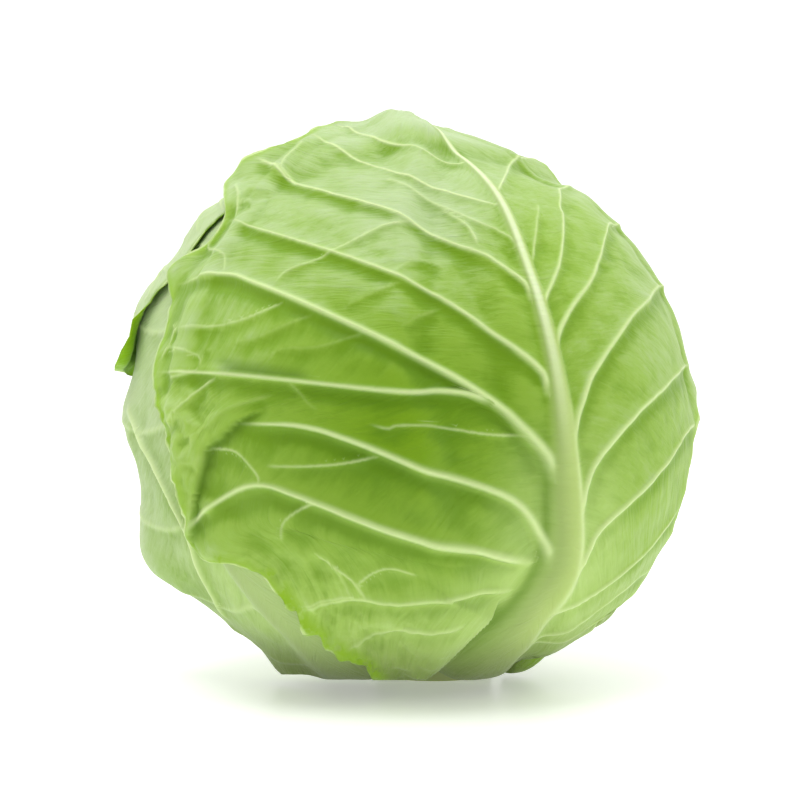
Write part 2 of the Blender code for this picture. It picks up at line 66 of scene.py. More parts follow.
# Leaves
BLADE = 0.9 * MM
EDGE_BLADE = 0.45 * MM
LAYER_GAP = 0.7 * MM
FOLD_LIP = 0.7 * MM
PLAIN_SPREAD = (0.12, 0.45, 0.74, 0.91, 0.99, 1.0, 0.93, 0.78, 0.56)
BACK_EDGE = ((6, -70), (22, -64), (34, -54), (42, -42), (47, -28), (50, -14), (53, -4), (62, 4),
             (75, 7), (81, 11), (82, 18), (81, 26), (80, 34), (76, 46), (68, 58), (60, 70), (44, 86))
EDGE_RAMP = 15.0 * MM
EDGE_MARGIN = 3.0 * MM
RUFFLE_WIDTH = 15.0 * MM
LOWEST = 0.45 * MM
LEAVES_UNDER_HEART = 3.5 * MM
FRONT_FOOT = 10.0 * MM
FRONT_SLOPE = math.tan(math.radians(9.2))
CURL_WIDTH = 6.0 * MM
CURL_RADIUS = 4.3 * MM
CURL_SHAPE = ((0, 0), (0.05, 0.6), (0.2, 1), (0.4, 1), (0.55, 0.6), (0.75, 0.8), (1, 0))
CAVITY_STEPS = 60
FINEST_RIDGE = 0.75 * MM
FINEST_VEIN = 0.5 * MM
LOW_SKIRT = 0.3
HOLLOW_PLACE = 3.2 * MM
HOLLOW_REACH = 2.6 * MM
HOLLOW_FAR = 16.0 * MM
FOLD_SHADE = 2.6 * MM
JOIN_DROP = 0.025
LEAF_ROWS = 272
LEAF_COLUMNS = 274
LEAF_TRIANGLES = 192000

# Waves of a blade: the strength, the size in millimetres on a head this wide, and the seed
WAVE_RADIUS = 90
PUCKERS = (0.6, 17.0, 0), (0.3, 7.5, 3), (0.12, 3.6, 5)
CRUMPLES = 1.9
FRILL_SIZE = 7.0
FRILL_REACH = 9 * MM
NICK_REACH = 8 * MM
NICK_DEPTH = 0.75
SEED_STEPS = 7.3, 3.1, 5.7

# Patches of a leaf, each as its middle and its reach on the chart
PRESS_PATCH = (-59, 40), (10, 26)
PRESS_DEPTH = 12 * MM
SWELL_PATCH = (-17, 42), (13, 13)
TURNED_PATCH = (-8, -60), (13, 9)
# The patch of painted shade that deepens the green of a leaf's middle, which faces the dim side of the room
SHADED_MIDDLE_PATCH = (-2, -3), (30, 27)
# Patches with less painted sheen, or more where the strength is below 0
CLEAR_PATCHES = (1, (38, 52), (24, 26)), (0.4, (-30, 30), (20, 14)), (-0.7, (3, 49), (18, 13))
CRUMPLED_DEPTH = 34 * MM

# The valley beside the midrib, its place and reach in half widths of the rib
VALLEY_PLACE = 1.3
VALLEY_REACH = 0.32
VALLEY_DEPTH = 0.7 * MM

# Wrinkles and strokes of the paint: rows up a leaf, waves across half of it and up a row, and their slant
ROWS_UP = 11
WRINKLES_ACROSS = 24.0
WRINKLES_UP = 2.2
WRINKLES_SLANT = 7.0
STROKES_ACROSS = 60.0
STROKES_UP = 5.0
STROKES_SLANT = 2.5

# Noises of the paint, in swells a metre, and how fast a vein's tint falls off beside it
BROAD = 28.0
SMALL = 110.0
FIBRES = 420.0
VEIN_FALL = 0.9


def smooth_curve(points, steps=8):
    """Points along a Catmull-Rom curve through the control points."""
    p = np.array(points, float)
    p = np.vstack((2 * p[0] - p[1], p, 2 * p[-1] - p[-2]))
    t = np.linspace(0, 1, steps, endpoint=False)[:, None]
    spans = []
    for a, b, c, d in zip(p, p[1:], p[2:], p[3:]):
        bend = 2 * a - 5 * b + 4 * c - d
        twist = 3 * b - a - 3 * c + d
        spans.append(0.5 * (2 * b + (c - a) * t + bend * t**2 + twist * t**3))
    spans.append(p[-2:-1])
    return np.vstack(spans)


def smooth_step(x):
    """0 below 0, 1 above 1, and a soft rise between."""
    x = np.clip(x, 0, 1)
    return x * x * (3 - 2 * x)


class Curve:
    """A smooth curve on a chart, read by the share of its length."""

    def __init__(self, points):
        self.points = smooth_curve(points)
        lengths = np.linalg.norm(np.diff(self.points, axis=0), axis=1)
        self.shares = np.append(0, np.cumsum(lengths)) / lengths.sum()

    def at(self, share):
        return np.stack([np.interp(share, self.shares, self.points[:, i]) for i in (0, 1)], axis=-1)

    def nearest(self, point):
        return self.shares[np.argmin(np.linalg.norm(self.points - point, axis=1))]


def chart_axes(facing):
    """The directions out, right and up of a chart that faces this many degrees right of the front."""
    a = math.radians(facing)
    return np.array(((math.sin(a), -math.cos(a), 0), (math.cos(a), math.sin(a), 0), (0, 0, 1)))


def wrap(points, facing):
    """Directions from the head's centre for points on a chart."""
    out, right, up = chart_axes(facing)
    points = np.asarray(points, float)
    turn = np.radians(np.linalg.norm(points, axis=-1, keepdims=True))
    slant = np.radians(points) * np.sinc(turn / math.pi)
    return np.cos(turn) * out + slant[..., :1] * right + slant[..., 1:] * up


def unwrap(directions, facing):
    """Points on a chart for directions from the head's centre."""
    out, right, up = chart_axes(facing)
    turn = np.arccos(np.clip(directions @ out, -1, 1))
    stretch = np.degrees(1 / np.maximum(np.sinc(turn / math.pi), 1e-6))
    return np.stack((directions @ right * stretch, directions @ up * stretch), axis=-1)


def distance_along(directions, line):
    """How far each direction is from a line of directions, on the head, and the nearest share along it."""
    best = np.full(directions.shape[:-1], np.inf)
    share = np.zeros(directions.shape[:-1])
    for i, (a, b) in enumerate(zip(line, line[1:])):
        step = b - a
        t = np.clip((directions - a) @ step / (step @ step), 0, 1)
        gap = np.linalg.norm(directions - a - t[..., None] * step, axis=-1)
        nearer = gap < best
        best[nearer] = gap[nearer]
        share[nearer] = (i + t[nearer]) / (len(line) - 1)
    return best * HEAD_CENTRE[2], share


def beside(directions, line, share):
    """1 to the left of a line and -1 to its right, seen from outside, at each direction's nearest share."""
    place = np.clip((share * (len(line) - 1)).astype(int), 0, len(line) - 2)
    run = line[place + 1] - line[place]
    away = directions - line[place]
    return np.sign(np.einsum("...i,...i", np.cross(run, away), directions))


def inside(points, outline):
    """Whether each chart point lies in a closed outline."""
    odd = np.zeros(points.shape[:-1], bool)
    x, y = points[..., 0], points[..., 1]
    for (ax, ay), (bx, by) in zip(outline, np.roll(outline, -1, axis=0)):
        if ay != by:
            crosses = (ay > y) != (by > y)
            odd ^= crosses & (x < ax + (y - ay) * (bx - ax) / (by - ay))
    return odd


def chart_point(facing, latitude):
    """The direction this many degrees right of the front and above the middle."""
    out, _, up = chart_axes(facing)
    return out * math.cos(math.radians(latitude)) + up * math.sin(math.radians(latitude))


def lowest_radius(directions):
    """How far a leaf may reach down: to just over the ground, and a little higher in front of the foot."""
    down, ahead = np.maximum(-directions[..., 2], 1e-3), np.maximum(-directions[..., 1], 0)
    height = HEAD_CENTRE[2] - LOWEST
    return np.minimum(height / down, (height + FRONT_SLOPE * FRONT_FOOT) / (down + FRONT_SLOPE * ahead))


def heart_radius(directions):
    """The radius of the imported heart, which the leaves lie on."""
    latitude = np.degrees(np.arcsin(np.clip(directions[..., 2], -1, 1)))
    fine = smooth_curve(list(zip(HEART_LATITUDES, HEART_RADII)))
    radius = np.interp(latitude, fine[:, 0], fine[:, 1]) + HEART_LEAN / MM * directions[..., 0]
    for facing, height, width, swell in HEART_SWELLINGS:
        turn = np.degrees(np.arccos(np.clip(directions @ chart_point(facing, height), -1, 1)))
        radius += swell * np.exp(-((turn / width) ** 2))
    return np.minimum(radius * MM, lowest_radius(directions) - LEAVES_UNDER_HEART)


def patch(x, y, middle, reach):
    """1 at the middle of a patch on a chart, and falling softly to 0 round it."""
    return np.exp(-(((x - middle[0]) / reach[0]) ** 2 + ((y - middle[1]) / reach[1]) ** 2))


def waviness(places, size, seed):
    """A smooth random height from about -1 to 1 over places, with swells of this size."""
    offset = Vector([seed * step for step in SEED_STEPS])
    flat = places.reshape(-1, 3) / size
    heights = [noise.noise(Vector(place) + offset) for place in flat]
    return np.array(heights).reshape(places.shape[:-1])


class Vein:
    """A vein drawn on a leaf's chart: widths and heights are in millimetres at its start and its end.

    The blade slopes up to it from above over the skirt's reach, and falls into a hollow below it.
    """

    def __init__(self, points, widths, heights, skirt=(0.0, 4.0), pale=(1.0, 0.8), hollow=0.0, minor=False):
        self.points, self.minor = smooth_curve(points, 5), minor
        self.widths, self.heights, self.skirt, self.pale, self.hollow = widths, heights, skirt, pale, hollow
        run = self.points[-1] - self.points[0]
        self.left_is_low = -run[0] / np.linalg.norm(run)


class Leaf:
    """A wrapper leaf: its curves on its chart, and how high its ribs stand."""

    vein_height = 1.8 * MM
    panel_swell = 0.2 * MM
    ruffle = 1.8 * MM
    phase = 1.0
    folds = ()
    curl = None
    frill = 0.9
    crumple = 0.0
    shaded_middle = 0.0
    valley = 0.0
    turned = 0.0
    calm = ()
    swell = 0.0
    press = 0.0

    def __init__(self, name, facing, midrib, rib_widths, rib_height, halves):
        self.name = name
        self.facing = facing
        self.midrib = Curve(midrib)
        self.rib_widths = np.array(rib_widths) * MM
        self.rib_height = rib_height * MM
        self.veins = []
        self.rows, self.starts, self.edges, self.ends = {}, {}, {}, {}
        for side, (base, veins, edge, tip) in halves.items():
            rows = [Curve(base)] + [Curve(vein) for vein in veins] + [Curve(tip)]
            self.edges[side] = Curve(edge)
            self.rows[side] = rows
            self.starts[side] = [0] + [self.midrib.nearest(row.points[0]) for row in rows[1:-1]] + [1]
            self.ends[side] = [0] + [self.edges[side].nearest(row.points[-1]) for row in rows[1:-1]] + [1]

    def outline(self):
        """The leaf's edge on its chart, round from the base."""
        left, right = self.edges[-1], self.edges[1]
        tips = self.rows[-1][-1].points[::-1], self.rows[1][-1].points
        return np.vstack((left.points, *tips, right.points[::-1]))

    def rib_width(self, share):
        return np.interp(share, np.linspace(0, 1, len(self.rib_widths)), self.rib_widths)

    def rib_reach(self, directions):
        """The distance from the midrib as a share of its half width, and the share along it."""
        gap, share = distance_along(directions, wrap(self.midrib.points[::2], self.facing))
        return gap / (self.rib_width(share) / 2), share

    def joined(self, points, side):
        """A side vein's points, the first of them drawn down along the midrib, so that it runs into it."""
        share = self.midrib.nearest(np.array(points[0]))
        half = math.degrees(self.rib_width(share) / 2 / HEAD_CENTRE[2])
        low, near = self.midrib.at(share - JOIN_DROP), self.midrib.at(share)
        return [low + (side * half * 0.8, 0), near + (side * half * 1.25, 0), *points[1:]]

    def rib_rise(self, directions, spread=1.0):
        """How far the midrib stands out, broad and round, with its full height at the base."""
        reach, share = self.rib_reach(directions)
        height = self.rib_height * self.rib_width(share) / self.rib_widths[0]
        return height * np.exp(-((reach / spread) ** 4) * 0.7)

    def fold_rise(self, directions):
        """How far the leaf stands up on one side of each line where a lobe is folded over the next, and how
        much painted shadow lies below the fold."""
        rise, shade = np.zeros(directions.shape[:-1]), np.zeros(directions.shape[:-1])
        for fold, height, reach in self.folds:
            line = wrap(fold.points, self.facing)
            gap, share = distance_along(directions, line)
            signed = gap * beside(directions, line, share) * -1
            ends = smooth_step(share / 0.25) * smooth_step((1 - share) / 0.2)
            lip = smooth_step(signed / FOLD_LIP + 0.5)
            rise += height * MM * ends * lip * np.exp(-((gap / MM / reach) ** 2))
            shade += ends * smooth_step(0.6 - signed / FOLD_LIP) * np.exp(-((gap / FOLD_SHADE) ** 2))
        return rise, shade

    def depth_in(self, directions):
        """Distance from the leaf's edge, above zero inside the leaf."""
        outline = self.outline()
        gap, _ = distance_along(directions, wrap(np.vstack((outline, outline[:1]))[::3], self.facing))
        return np.where(inside(unwrap(directions, self.facing), outline), gap, -gap)

    def cover(self, directions):
        """1 on the leaf and just round it, falling to 0 a short way outside its edge."""
        return smooth_step((self.depth_in(directions) + EDGE_RAMP) / (EDGE_RAMP - EDGE_MARGIN))

    def lift(self, directions):
        """How far a leaf on top of this one is raised by it."""
        layer = BLADE + LAYER_GAP + self.vein_height + self.panel_swell
        return self.cover(directions) * (layer + self.rib_rise(directions, 1.3))

    def place(self, side, number, across):
        """The chart point this far up the leaf, counted in side veins, and across from midrib to edge."""
        row = self.rows[side]
        k = min(int(number), len(row) - 2)
        low, high = row[k].at(across), row[k + 1].at(across)
        return low + (high - low) * (number - k)

    def chart(self, shares, columns):
        """The leaf's grid on its chart: a row for each share of the midrib's length, from left edge to right.

        Each point has its place, how far across its half it is and how far up the midrib its row starts.
        """
        halves = []
        for side in (-1, 1):
            number = np.interp(shares, self.starts[side], np.arange(len(self.starts[side])))
            middle = self.midrib.at(shares)
            edge = self.edges[side].at(np.interp(number, np.arange(len(self.ends[side])), self.ends[side]))
            w = columns[side]
            grid = []
            for n, m, e, share in zip(number, middle, edge, shares):
                line = self.place(side, n, w)
                v = w[:, None]
                spot = line + (1 - v) * (m - line[0]) + v * (e - line[-1])
                grid.append(np.column_stack((spot, side * w, np.full(len(w), share))))
            halves.append(np.array(grid))
        left, right = halves
        return np.concatenate((left[:, :0:-1], right), axis=1)

    def grid(self, rows, columns):
        """The grid, its rows and its columns spread evenly over the leaf's real size."""
        shares, steps = np.linspace(0, 1, rows), {side: np.linspace(0, 1, columns // 2) for side in (-1, 1)}
        rough = wrap(self.chart(shares, steps)[..., :2], self.facing)
        middle = columns // 2 - 1
        length = np.linalg.norm(np.diff(rough, axis=0), axis=2)
        travel = np.append(0, np.cumsum(np.sqrt(np.mean(length**2, axis=1)) + 0.3 * length.max(axis=1)))
        shares = np.interp(np.linspace(0, travel[-1], rows), travel, shares)
        width = np.sqrt(np.mean(np.linalg.norm(np.diff(rough, axis=1), axis=2) ** 2, axis=0))
        return self.chart(shares, {side: even_steps(width[:middle][::-1] if side < 0 else width[middle:])
                                   for side in (-1, 1)})


def even_steps(widths):
    """Shares from 0 to 1 that step evenly over cells of these widths."""
    travel = np.append(0, np.cumsum(widths))
    return np.interp(np.linspace(0, travel[-1], len(travel)), travel, np.linspace(0, 1, len(travel)))


def vein_field(leaf, directions):
    """The relief of all the leaf's veins, how much painted shade lies under them, and the crossing place and
    paleness of the nearest main and the nearest minor one."""
    shape = directions.shape[:-1]
    ridges, skirts, hollows, shades = (np.zeros(shape) for _ in range(4))
    nearest = {minor: (np.full(shape, 4.0), np.zeros(shape)) for minor in (False, True)}
    for vein in leaf.veins:
        line = wrap(vein.points, leaf.facing)
        reach = max(3.2 * max(vein.widths) * MM, HOLLOW_FAR if vein.hollow else 2.6 * vein.skirt[1] * MM)
        middle = line.mean(axis=0)
        size = np.linalg.norm(line - middle, axis=1).max() + reach / HEAD_CENTRE[2]
        close = np.linalg.norm(directions - middle, axis=-1) < size
        if not close.any():
            continue
        spot = directions[close]
        gap, share = distance_along(spot, line)
        side = beside(spot, line, share)
        half = np.interp(share, (0, 1), vein.widths) * MM / 2
        fade = smooth_step((1 - share) / 0.12) * (0.35 + 0.65 * smooth_step(share / 0.1))
        height = np.interp(share, (0, 1), vein.heights) * MM * fade
        low = 0.5 + 0.5 * side * vein.left_is_low
        skirt = vein.skirt[0] * MM * np.interp(share, (0, 1), (1, 0.55)) * fade
        spread = vein.skirt[1] * MM * (1 - low * (1 - LOW_SKIRT if vein.hollow else 0))
        ridges[close] += (height * np.exp(-((gap / np.maximum(half, FINEST_RIDGE)) ** 2) * 0.8)) ** 3
        slope = 0.6 * np.exp(-((gap / (0.5 * spread)) ** 2)) + 0.4 * np.exp(-((gap / (1.2 * spread)) ** 2))
        skirts[close] += (skirt * slope) ** 3
        dip = vein.hollow * MM * low * np.exp(-(((gap - HOLLOW_PLACE) / HOLLOW_REACH) ** 2))
        dip *= fade * smooth_step(share / 0.08)
        hollows[close] = np.maximum(hollows[close], dip)
        reach = 2.4 * max(vein.widths) * MM
        shade = min(1, 1.25 * vein.hollow) * low * np.exp(-(((gap - 0.25 * reach) / reach) ** 2))
        shades[close] = np.maximum(shades[close], shade * fade * smooth_step(share / 0.08))
        crossing = gap / np.maximum(half, FINEST_VEIN) * side
        across, near = nearest[vein.minor]
        nearer = np.abs(crossing) < np.abs(across[close])
        pale = np.interp(share, (0, 1), vein.pale) * fade * (1 - smooth_step((np.abs(crossing) - 1.2) / 1.1))
        across[close] = np.where(nearer, np.clip(crossing, -4, 4), across[close])
        near[close] = np.where(nearer, pale, near[close])
    ridges, skirts = ridges ** (1 / 3), skirts ** (1 / 3)
    hollows *= np.exp(-((ridges + 0.6 * skirts) / (0.8 * MM)) ** 2)
    return ridges + skirts, hollows, shades, nearest


def blur(field, steps):
    """A field on the leaf's grid, smoothed over its neighbours this many times."""
    for _ in range(steps):
        padded = np.pad(field, 1, mode="edge")
        field = (padded[:-2, 1:-1] + padded[2:, 1:-1] + padded[1:-1, :-2] + padded[1:-1, 2:] + 2 * field) / 6
    return field


def upward(places):
    """How far the leaf's outer face turns up at each point of its grid, from -1 to 1."""
    along, across = np.gradient(places, axis=0), np.gradient(places, axis=1)
    normal = np.cross(across, along)
    normal /= np.maximum(np.linalg.norm(normal, axis=-1, keepdims=True), 1e-12)
    outward = np.sign(np.einsum("...i,...i", normal, places - HEAD_CENTRE))
    return normal[..., 2] * outward


def ruffle(leaf, directions, depth, free):
    """How far the leaf's edge stands off in waves, where no other leaf holds it down."""
    near = np.clip(1 - depth / RUFFLE_WIDTH, 0, 1) ** 2
    x, y = np.moveaxis(unwrap(directions, leaf.facing), -1, 0)
    round_leaf = np.arctan2(y, x)
    wave = np.sin(9 * round_leaf + leaf.phase) + 0.6 * np.sin(17 * round_leaf + 2 * leaf.phase)
    frill = waviness(directions * WAVE_RADIUS, FRILL_SIZE, leaf.phase)
    frill = frill * np.clip(1 - depth / FRILL_REACH, 0, 1) ** 1.5
    moving = 1.0
    for (across, up), reach in leaf.calm:
        moving = moving * (1 - 0.85 * np.exp(-((x - across) ** 2 + (y - up) ** 2) / reach**2))
    rise = leaf.ruffle * near * (1 + 0.5 * wave * moving)
    rise += leaf.frill * MM * (frill + 0.35 * np.abs(frill)) * moving
    press = patch(x, y, *PRESS_PATCH) * np.clip(1 - depth / PRESS_DEPTH, 0, 1)
    return free * smooth_step((y + 70) / 25) * rise - leaf.press * press


def ragged(leaf, chart, directions):
    """The leaf's grid with small lobes and nicks along its edge."""
    depth = np.clip(leaf.depth_in(directions), 0, None)
    near = np.clip(1 - depth / NICK_REACH, 0, 1)[..., None] ** 2
    places = directions * WAVE_RADIUS
    nick = waviness(places, 3.6, leaf.phase + 20) * 0.9 + waviness(places, 9.0, leaf.phase + 30)
    nick += 0.5 * leaf.crumple * waviness(places, 2.0, leaf.phase + 40)
    nick *= 1 + leaf.crumple * 0.9 * smooth_step((-chart[..., 1] - 25) / 15)
    away = chart / np.maximum(np.linalg.norm(chart, axis=-1, keepdims=True), 1e-6)
    return chart + away * near * nick[..., None] * NICK_DEPTH


def crumpled_parts(x, y, depth):
    """1 where a leaf is crumpled: at its low left, and on the lobe above that."""
    low_left = smooth_step((-y - 18) / 16) * smooth_step((24 - x) / 20)
    low_left *= np.clip(1 - depth / CRUMPLED_DEPTH, 0, 1) ** 0.7
    lobe = 0.8 * smooth_step((-x - 39) / 5) * smooth_step((10 - y) / 8) * smooth_step((y + 30) / 8)
    return low_left, lobe


def faces_of_leaf(leaf, below, above, directions):
    """The radii of the leaf's inner and outer face, and what its material reads at each point."""
    base = heart_radius(directions) + LAYER_GAP
    for other in below:
        base += other.lift(directions)
    free = np.ones(directions.shape[:-1])
    for other in above:
        free *= 1 - other.cover(directions)
    depth = np.clip(leaf.depth_in(directions), 0, None)
    relief, hollows, shades, nearest = vein_field(leaf, directions)
    reach, share = leaf.rib_reach(directions)
    relief *= smooth_step((reach - 0.6) / 0.7)
    x, y = np.moveaxis(unwrap(directions, leaf.facing), -1, 0)
    rib_side = -beside(directions, wrap(leaf.midrib.points[::2], leaf.facing), share)
    valley = np.exp(-(((reach - VALLEY_PLACE) / VALLEY_REACH) ** 2)) * smooth_step((share - 0.1) / 0.12)
    valley = valley * (rib_side < 0) * smooth_step((0.55 - share) / 0.2)
    hollows = hollows + leaf.valley * VALLEY_DEPTH * valley
    places = directions * WAVE_RADIUS
    puckers = sum(strength * waviness(places, size, leaf.phase + seed) for strength, size, seed in PUCKERS)
    low_left, lobe = crumpled_parts(x, y, depth)
    crumples = waviness(places, 6.0, leaf.phase + 7) - 0.6 * np.abs(waviness(places, 3.6, leaf.phase + 8))
    crumples += 0.35 * waviness(places, 2.2, leaf.phase + 9)
    puckers += CRUMPLES * leaf.crumple * np.maximum(low_left, lobe) * crumples
    panel = smooth_step((reach - 0.9) / 1.5) * free
    fold, fold_shade = leaf.fold_rise(directions)
    inner = base + ruffle(leaf, directions, depth, free) + fold
    swell = np.exp(-((x + 28) / 15) ** 2 - ((y - 29) / 24) ** 4)
    inner += leaf.swell * np.maximum(swell, patch(x, y, *SWELL_PATCH))
    rib = leaf.rib_rise(directions)
    outer = inner + BLADE + relief + rib + (puckers * MM - hollows) * panel
    lowest = lowest_radius(directions)
    outer = np.minimum(outer, lowest)
    blade = EDGE_BLADE + (BLADE - EDGE_BLADE) * smooth_step(depth / (4 * MM)) + 0.55 * relief + 0.9 * rib
    (across, near), (minor_across, minor_near) = nearest[False], nearest[True]
    off_rib = smooth_step((reach - 0.45) / 0.5)
    # Notes for the material: cavity, shade, the fold note and middle place painted shade there, and upward
    # places painted sheen and painted light.
    notes = {
        "vein_across": across, "vein_pale": near * off_rib,
        "minor_across": minor_across, "minor_pale": minor_near * off_rib,
        "rib_across": np.clip(reach, 0, 6) * rib_side, "rib_share": share,
        "edge_depth": depth / MM, "free": free,
        "cavity": (blur(outer, CAVITY_STEPS) - outer) / MM,
        "upward": upward(HEAD_CENTRE + directions * blur(outer, 3)[..., None]),
        "shade": np.clip(shades, 0, 1), "crease": np.clip(fold_shade, 0, 1),
        "valley": leaf.valley * valley, "crumpled": leaf.crumple * np.maximum(low_left, 0.7 * lobe),
        "turned": leaf.turned * patch(x, y, *TURNED_PATCH),
        "clear": leaf.valley * sum(strength * patch(x, y, *place) for strength, *place in CLEAR_PATCHES),
        # Painted shade: a deeper green over the leaf's middle.
        "middle": leaf.shaded_middle * patch(x, y, *SHADED_MIDDLE_PATCH),
    }
    return np.minimum(outer - blade, lowest - blade), outer, notes


def roll_edge(leaf, chart, inner, outer):
    """Rolls the leaf's edge outward on one side, in a stretch between two heights on the chart."""
    side, low, high = leaf.curl
    heights = np.clip((chart[:, -1 if side > 0 else 0, 1] - low) / (high - low), 0, 1)
    middle = inner.shape[1] // 2
    columns = range(middle, inner.shape[1]) if side > 0 else range(middle, -1, -1)
    for row, strength in enumerate(np.interp(heights, *zip(*CURL_SHAPE))):
        radius = CURL_RADIUS / max(strength, 1e-3)
        line = outer[row, columns].copy()
        length = np.append(0, np.cumsum(np.linalg.norm(np.diff(line, axis=0), axis=1)))
        back = np.searchsorted(length, length[-1] - CURL_WIDTH)
        along = (line[-1] - line[back]) / np.linalg.norm(line[-1] - line[back])
        away = line[-1] - HEAD_CENTRE
        away /= np.linalg.norm(away)
        for column, reach in zip(columns, length - length[-1] + CURL_WIDTH):
            if reach > 0:
                turn = reach / radius
                for face, offset in ((inner, -BLADE / 2), (outer, BLADE / 2)):
                    arc = radius - offset
                    root = face[row, column] - along * reach - away * offset
                    height = radius - arc * math.cos(turn)
                    face[row, column] = root + along * arc * math.sin(turn) + away * height


def select_only(obj):
    """Deselects everything, and makes one object the one that is worked on."""
    bpy.ops.object.select_all(action="DESELECT")
    obj.select_set(True)
    bpy.context.view_layer.objects.active = obj


def apply_modifier(obj, kind, **settings):
    """Adds a modifier with its settings, and applies it."""
    select_only(obj)
    modifier = obj.modifiers.new(kind.lower(), kind)
    for name, value in settings.items():
        setattr(modifier, name, value)
    bpy.ops.object.modifier_apply(modifier=modifier.name)


def write_note(mesh, name, values):
    note = mesh.attributes.new(name, "FLOAT", "POINT")
    note.data.foreach_set("value", np.asarray(values, np.float32))


def build_leaf(leaf, below, above, material):
    """A flat grid bent to the leaf's outer face, thickened inward, and thinned where it is hidden."""
    rows, columns = LEAF_ROWS, LEAF_COLUMNS - 1
    grid = leaf.grid(rows, LEAF_COLUMNS)
    chart = grid[..., :2]
    chart = ragged(leaf, chart, wrap(chart, leaf.facing))
    directions = wrap(chart, leaf.facing)
    inner, outer, notes = faces_of_leaf(leaf, below, above, directions)
    inner, outer = (HEAD_CENTRE + directions * radius[..., None] for radius in (inner, outer))
    if leaf.curl:
        roll_edge(leaf, chart, inner, outer)
    bpy.ops.object.select_all(action="DESELECT")
    bpy.ops.mesh.primitive_grid_add(x_subdivisions=columns - 1, y_subdivisions=rows - 1, size=1)
    obj = bpy.context.object
    obj.name = obj.data.name = leaf.name + "_blade"
    mesh = obj.data
    flat = np.zeros(len(mesh.vertices) * 3)
    mesh.vertices.foreach_get("co", flat)
    flat = flat.reshape(-1, 3)
    column = np.rint((flat[:, 0] + 0.5) * (columns - 1)).astype(int)
    row = np.rint((flat[:, 1] + 0.5) * (rows - 1)).astype(int)
    mesh.vertices.foreach_set("co", outer[row, column].ravel())
    for name, values in notes.items():
        write_note(mesh, name, values[row, column])
    write_note(mesh, "across_half", grid[row, column, 2])
    write_note(mesh, "up_leaf", grid[row, column, 3])
    apply_modifier(obj, "SOLIDIFY", thickness=BLADE, offset=-1)
    mesh = obj.data
    count = rows * columns
    places = np.vstack((outer[row, column], inner[row, column]))
    mesh.vertices.foreach_set("co", places.ravel())
    write_note(mesh, "inner_side", np.repeat((0, 1), count))
    hidden = obj.vertex_groups.new(name="hidden")
    free = notes["free"][row, column]
    edge = notes["edge_depth"][row, column]
    depths = np.append(np.where(free < 0.02, 1, 0), np.where((edge > 2.5) | (free < 0.02), 1, 0))
    hidden.add([int(i) for i in np.flatnonzero(depths)], 1.0, "REPLACE")
    triangles = sum(len(face.vertices) - 2 for face in mesh.polygons)
    apply_modifier(obj, "DECIMATE", ratio=LEAF_TRIANGLES / triangles, vertex_group="hidden")
    obj.vertex_groups.clear()
    select_only(obj)
    bpy.ops.object.mode_set(mode="EDIT")
    bpy.ops.mesh.select_all(action="SELECT")
    bpy.ops.mesh.normals_make_consistent(inside=False)
    bpy.ops.object.mode_set(mode="OBJECT")
    bpy.ops.object.shade_smooth()
    obj.data.materials.append(material)
    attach(obj, "root")
    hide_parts(leaf.name)
    return obj


def plain_leaf(name, facing, midrib, half_widths, rib_widths, rib_height, right_edge=None, ribs=1.0):
    """A leaf with even curves: its edges widen from the stem and close over the crown."""
    rib = Curve(midrib)
    halves = {}
    for side, width in zip((-1, 1), half_widths):
        edge = right_edge if side > 0 and right_edge else even_edge(rib, side * width, facing + side)
        top = rib.at(1.0)
        tip = (top, top + (side * width * 0.28, -3), edge[-1])
        veins = plain_veins(side, rib, Curve(edge), 6)
        halves[side] = (midrib[0], edge[0]), veins, edge, tip
    leaf = Leaf(name, facing, midrib, rib_widths, rib_height, halves)
    for side in (-1, 1):
        for row in leaf.rows[side][1:-1]:
            points = leaf.joined(row.points[::8], side)
            leaf.veins.append(Vein(points, (2.8, 1.0), (0.9 * ribs, 0.35 * ribs), (0.7 * ribs, 6.5),
                                   (0.8 * ribs, 0.5 * ribs), 0.35 * ribs))
    if ribs > 0.6:
        leaf.veins += forks(leaf, (-1, 1)) + net(leaf, (-1, 1), 0.4)
    return leaf


def even_edge(rib, width, phase):
    """An edge that swells out from the midrib and back, with shallow notches."""
    edge = []
    for i, (share, place) in enumerate(zip(PLAIN_SPREAD, np.linspace(0.02, 0.93, len(PLAIN_SPREAD)))):
        notch = 1 + 0.035 * math.sin(2.6 * i + phase)
        edge.append(rib.at(place) + (width * share * notch, 0))
    return edge


def plain_veins(side, rib, edge, count):
    """Side veins that leave the midrib low and bow up to the edge."""
    veins = []
    for i in range(count):
        share = (i + 0.7) / (count + 0.6)
        start = rib.at(0.05 + 0.78 * share)
        end = edge.at(0.06 + 0.9 * share**0.9)
        span = end - start
        sag = np.array((side * span[1], -abs(span[0]))) * 0.09
        veins.append((start, start + span * 0.35 + sag, start + span * 0.7 + sag * 0.8, end))
    return veins


def forks(leaf, sides):
    """Veins that fork from each side vein and bow over to the next."""
    draw = random.Random(leaf.facing + 7)
    found = []
    for side in sides:
        for k in range(1, len(leaf.rows[side]) - 1):
            for across, way in ((0.42, 1), (0.55, -1), (0.68, 1), (0.8, -1)):
                a = across + draw.uniform(-0.05, 0.05)
                path = [(0, a), (0.16, a + 0.06), (0.33, a + 0.13), (0.42, min(a + 0.22, 0.95))]
                if draw.random() < 0.8:
                    last = len(leaf.rows[side]) - 1
                    points = [leaf.place(side, np.clip(k + way * rise, 0, last), w) for rise, w in path]
                    found.append(Vein(points, (1.6, 0.7), (0.5, 0.15), (0.4, 3.0), (0.6, 0.3), minor=True))
    return found


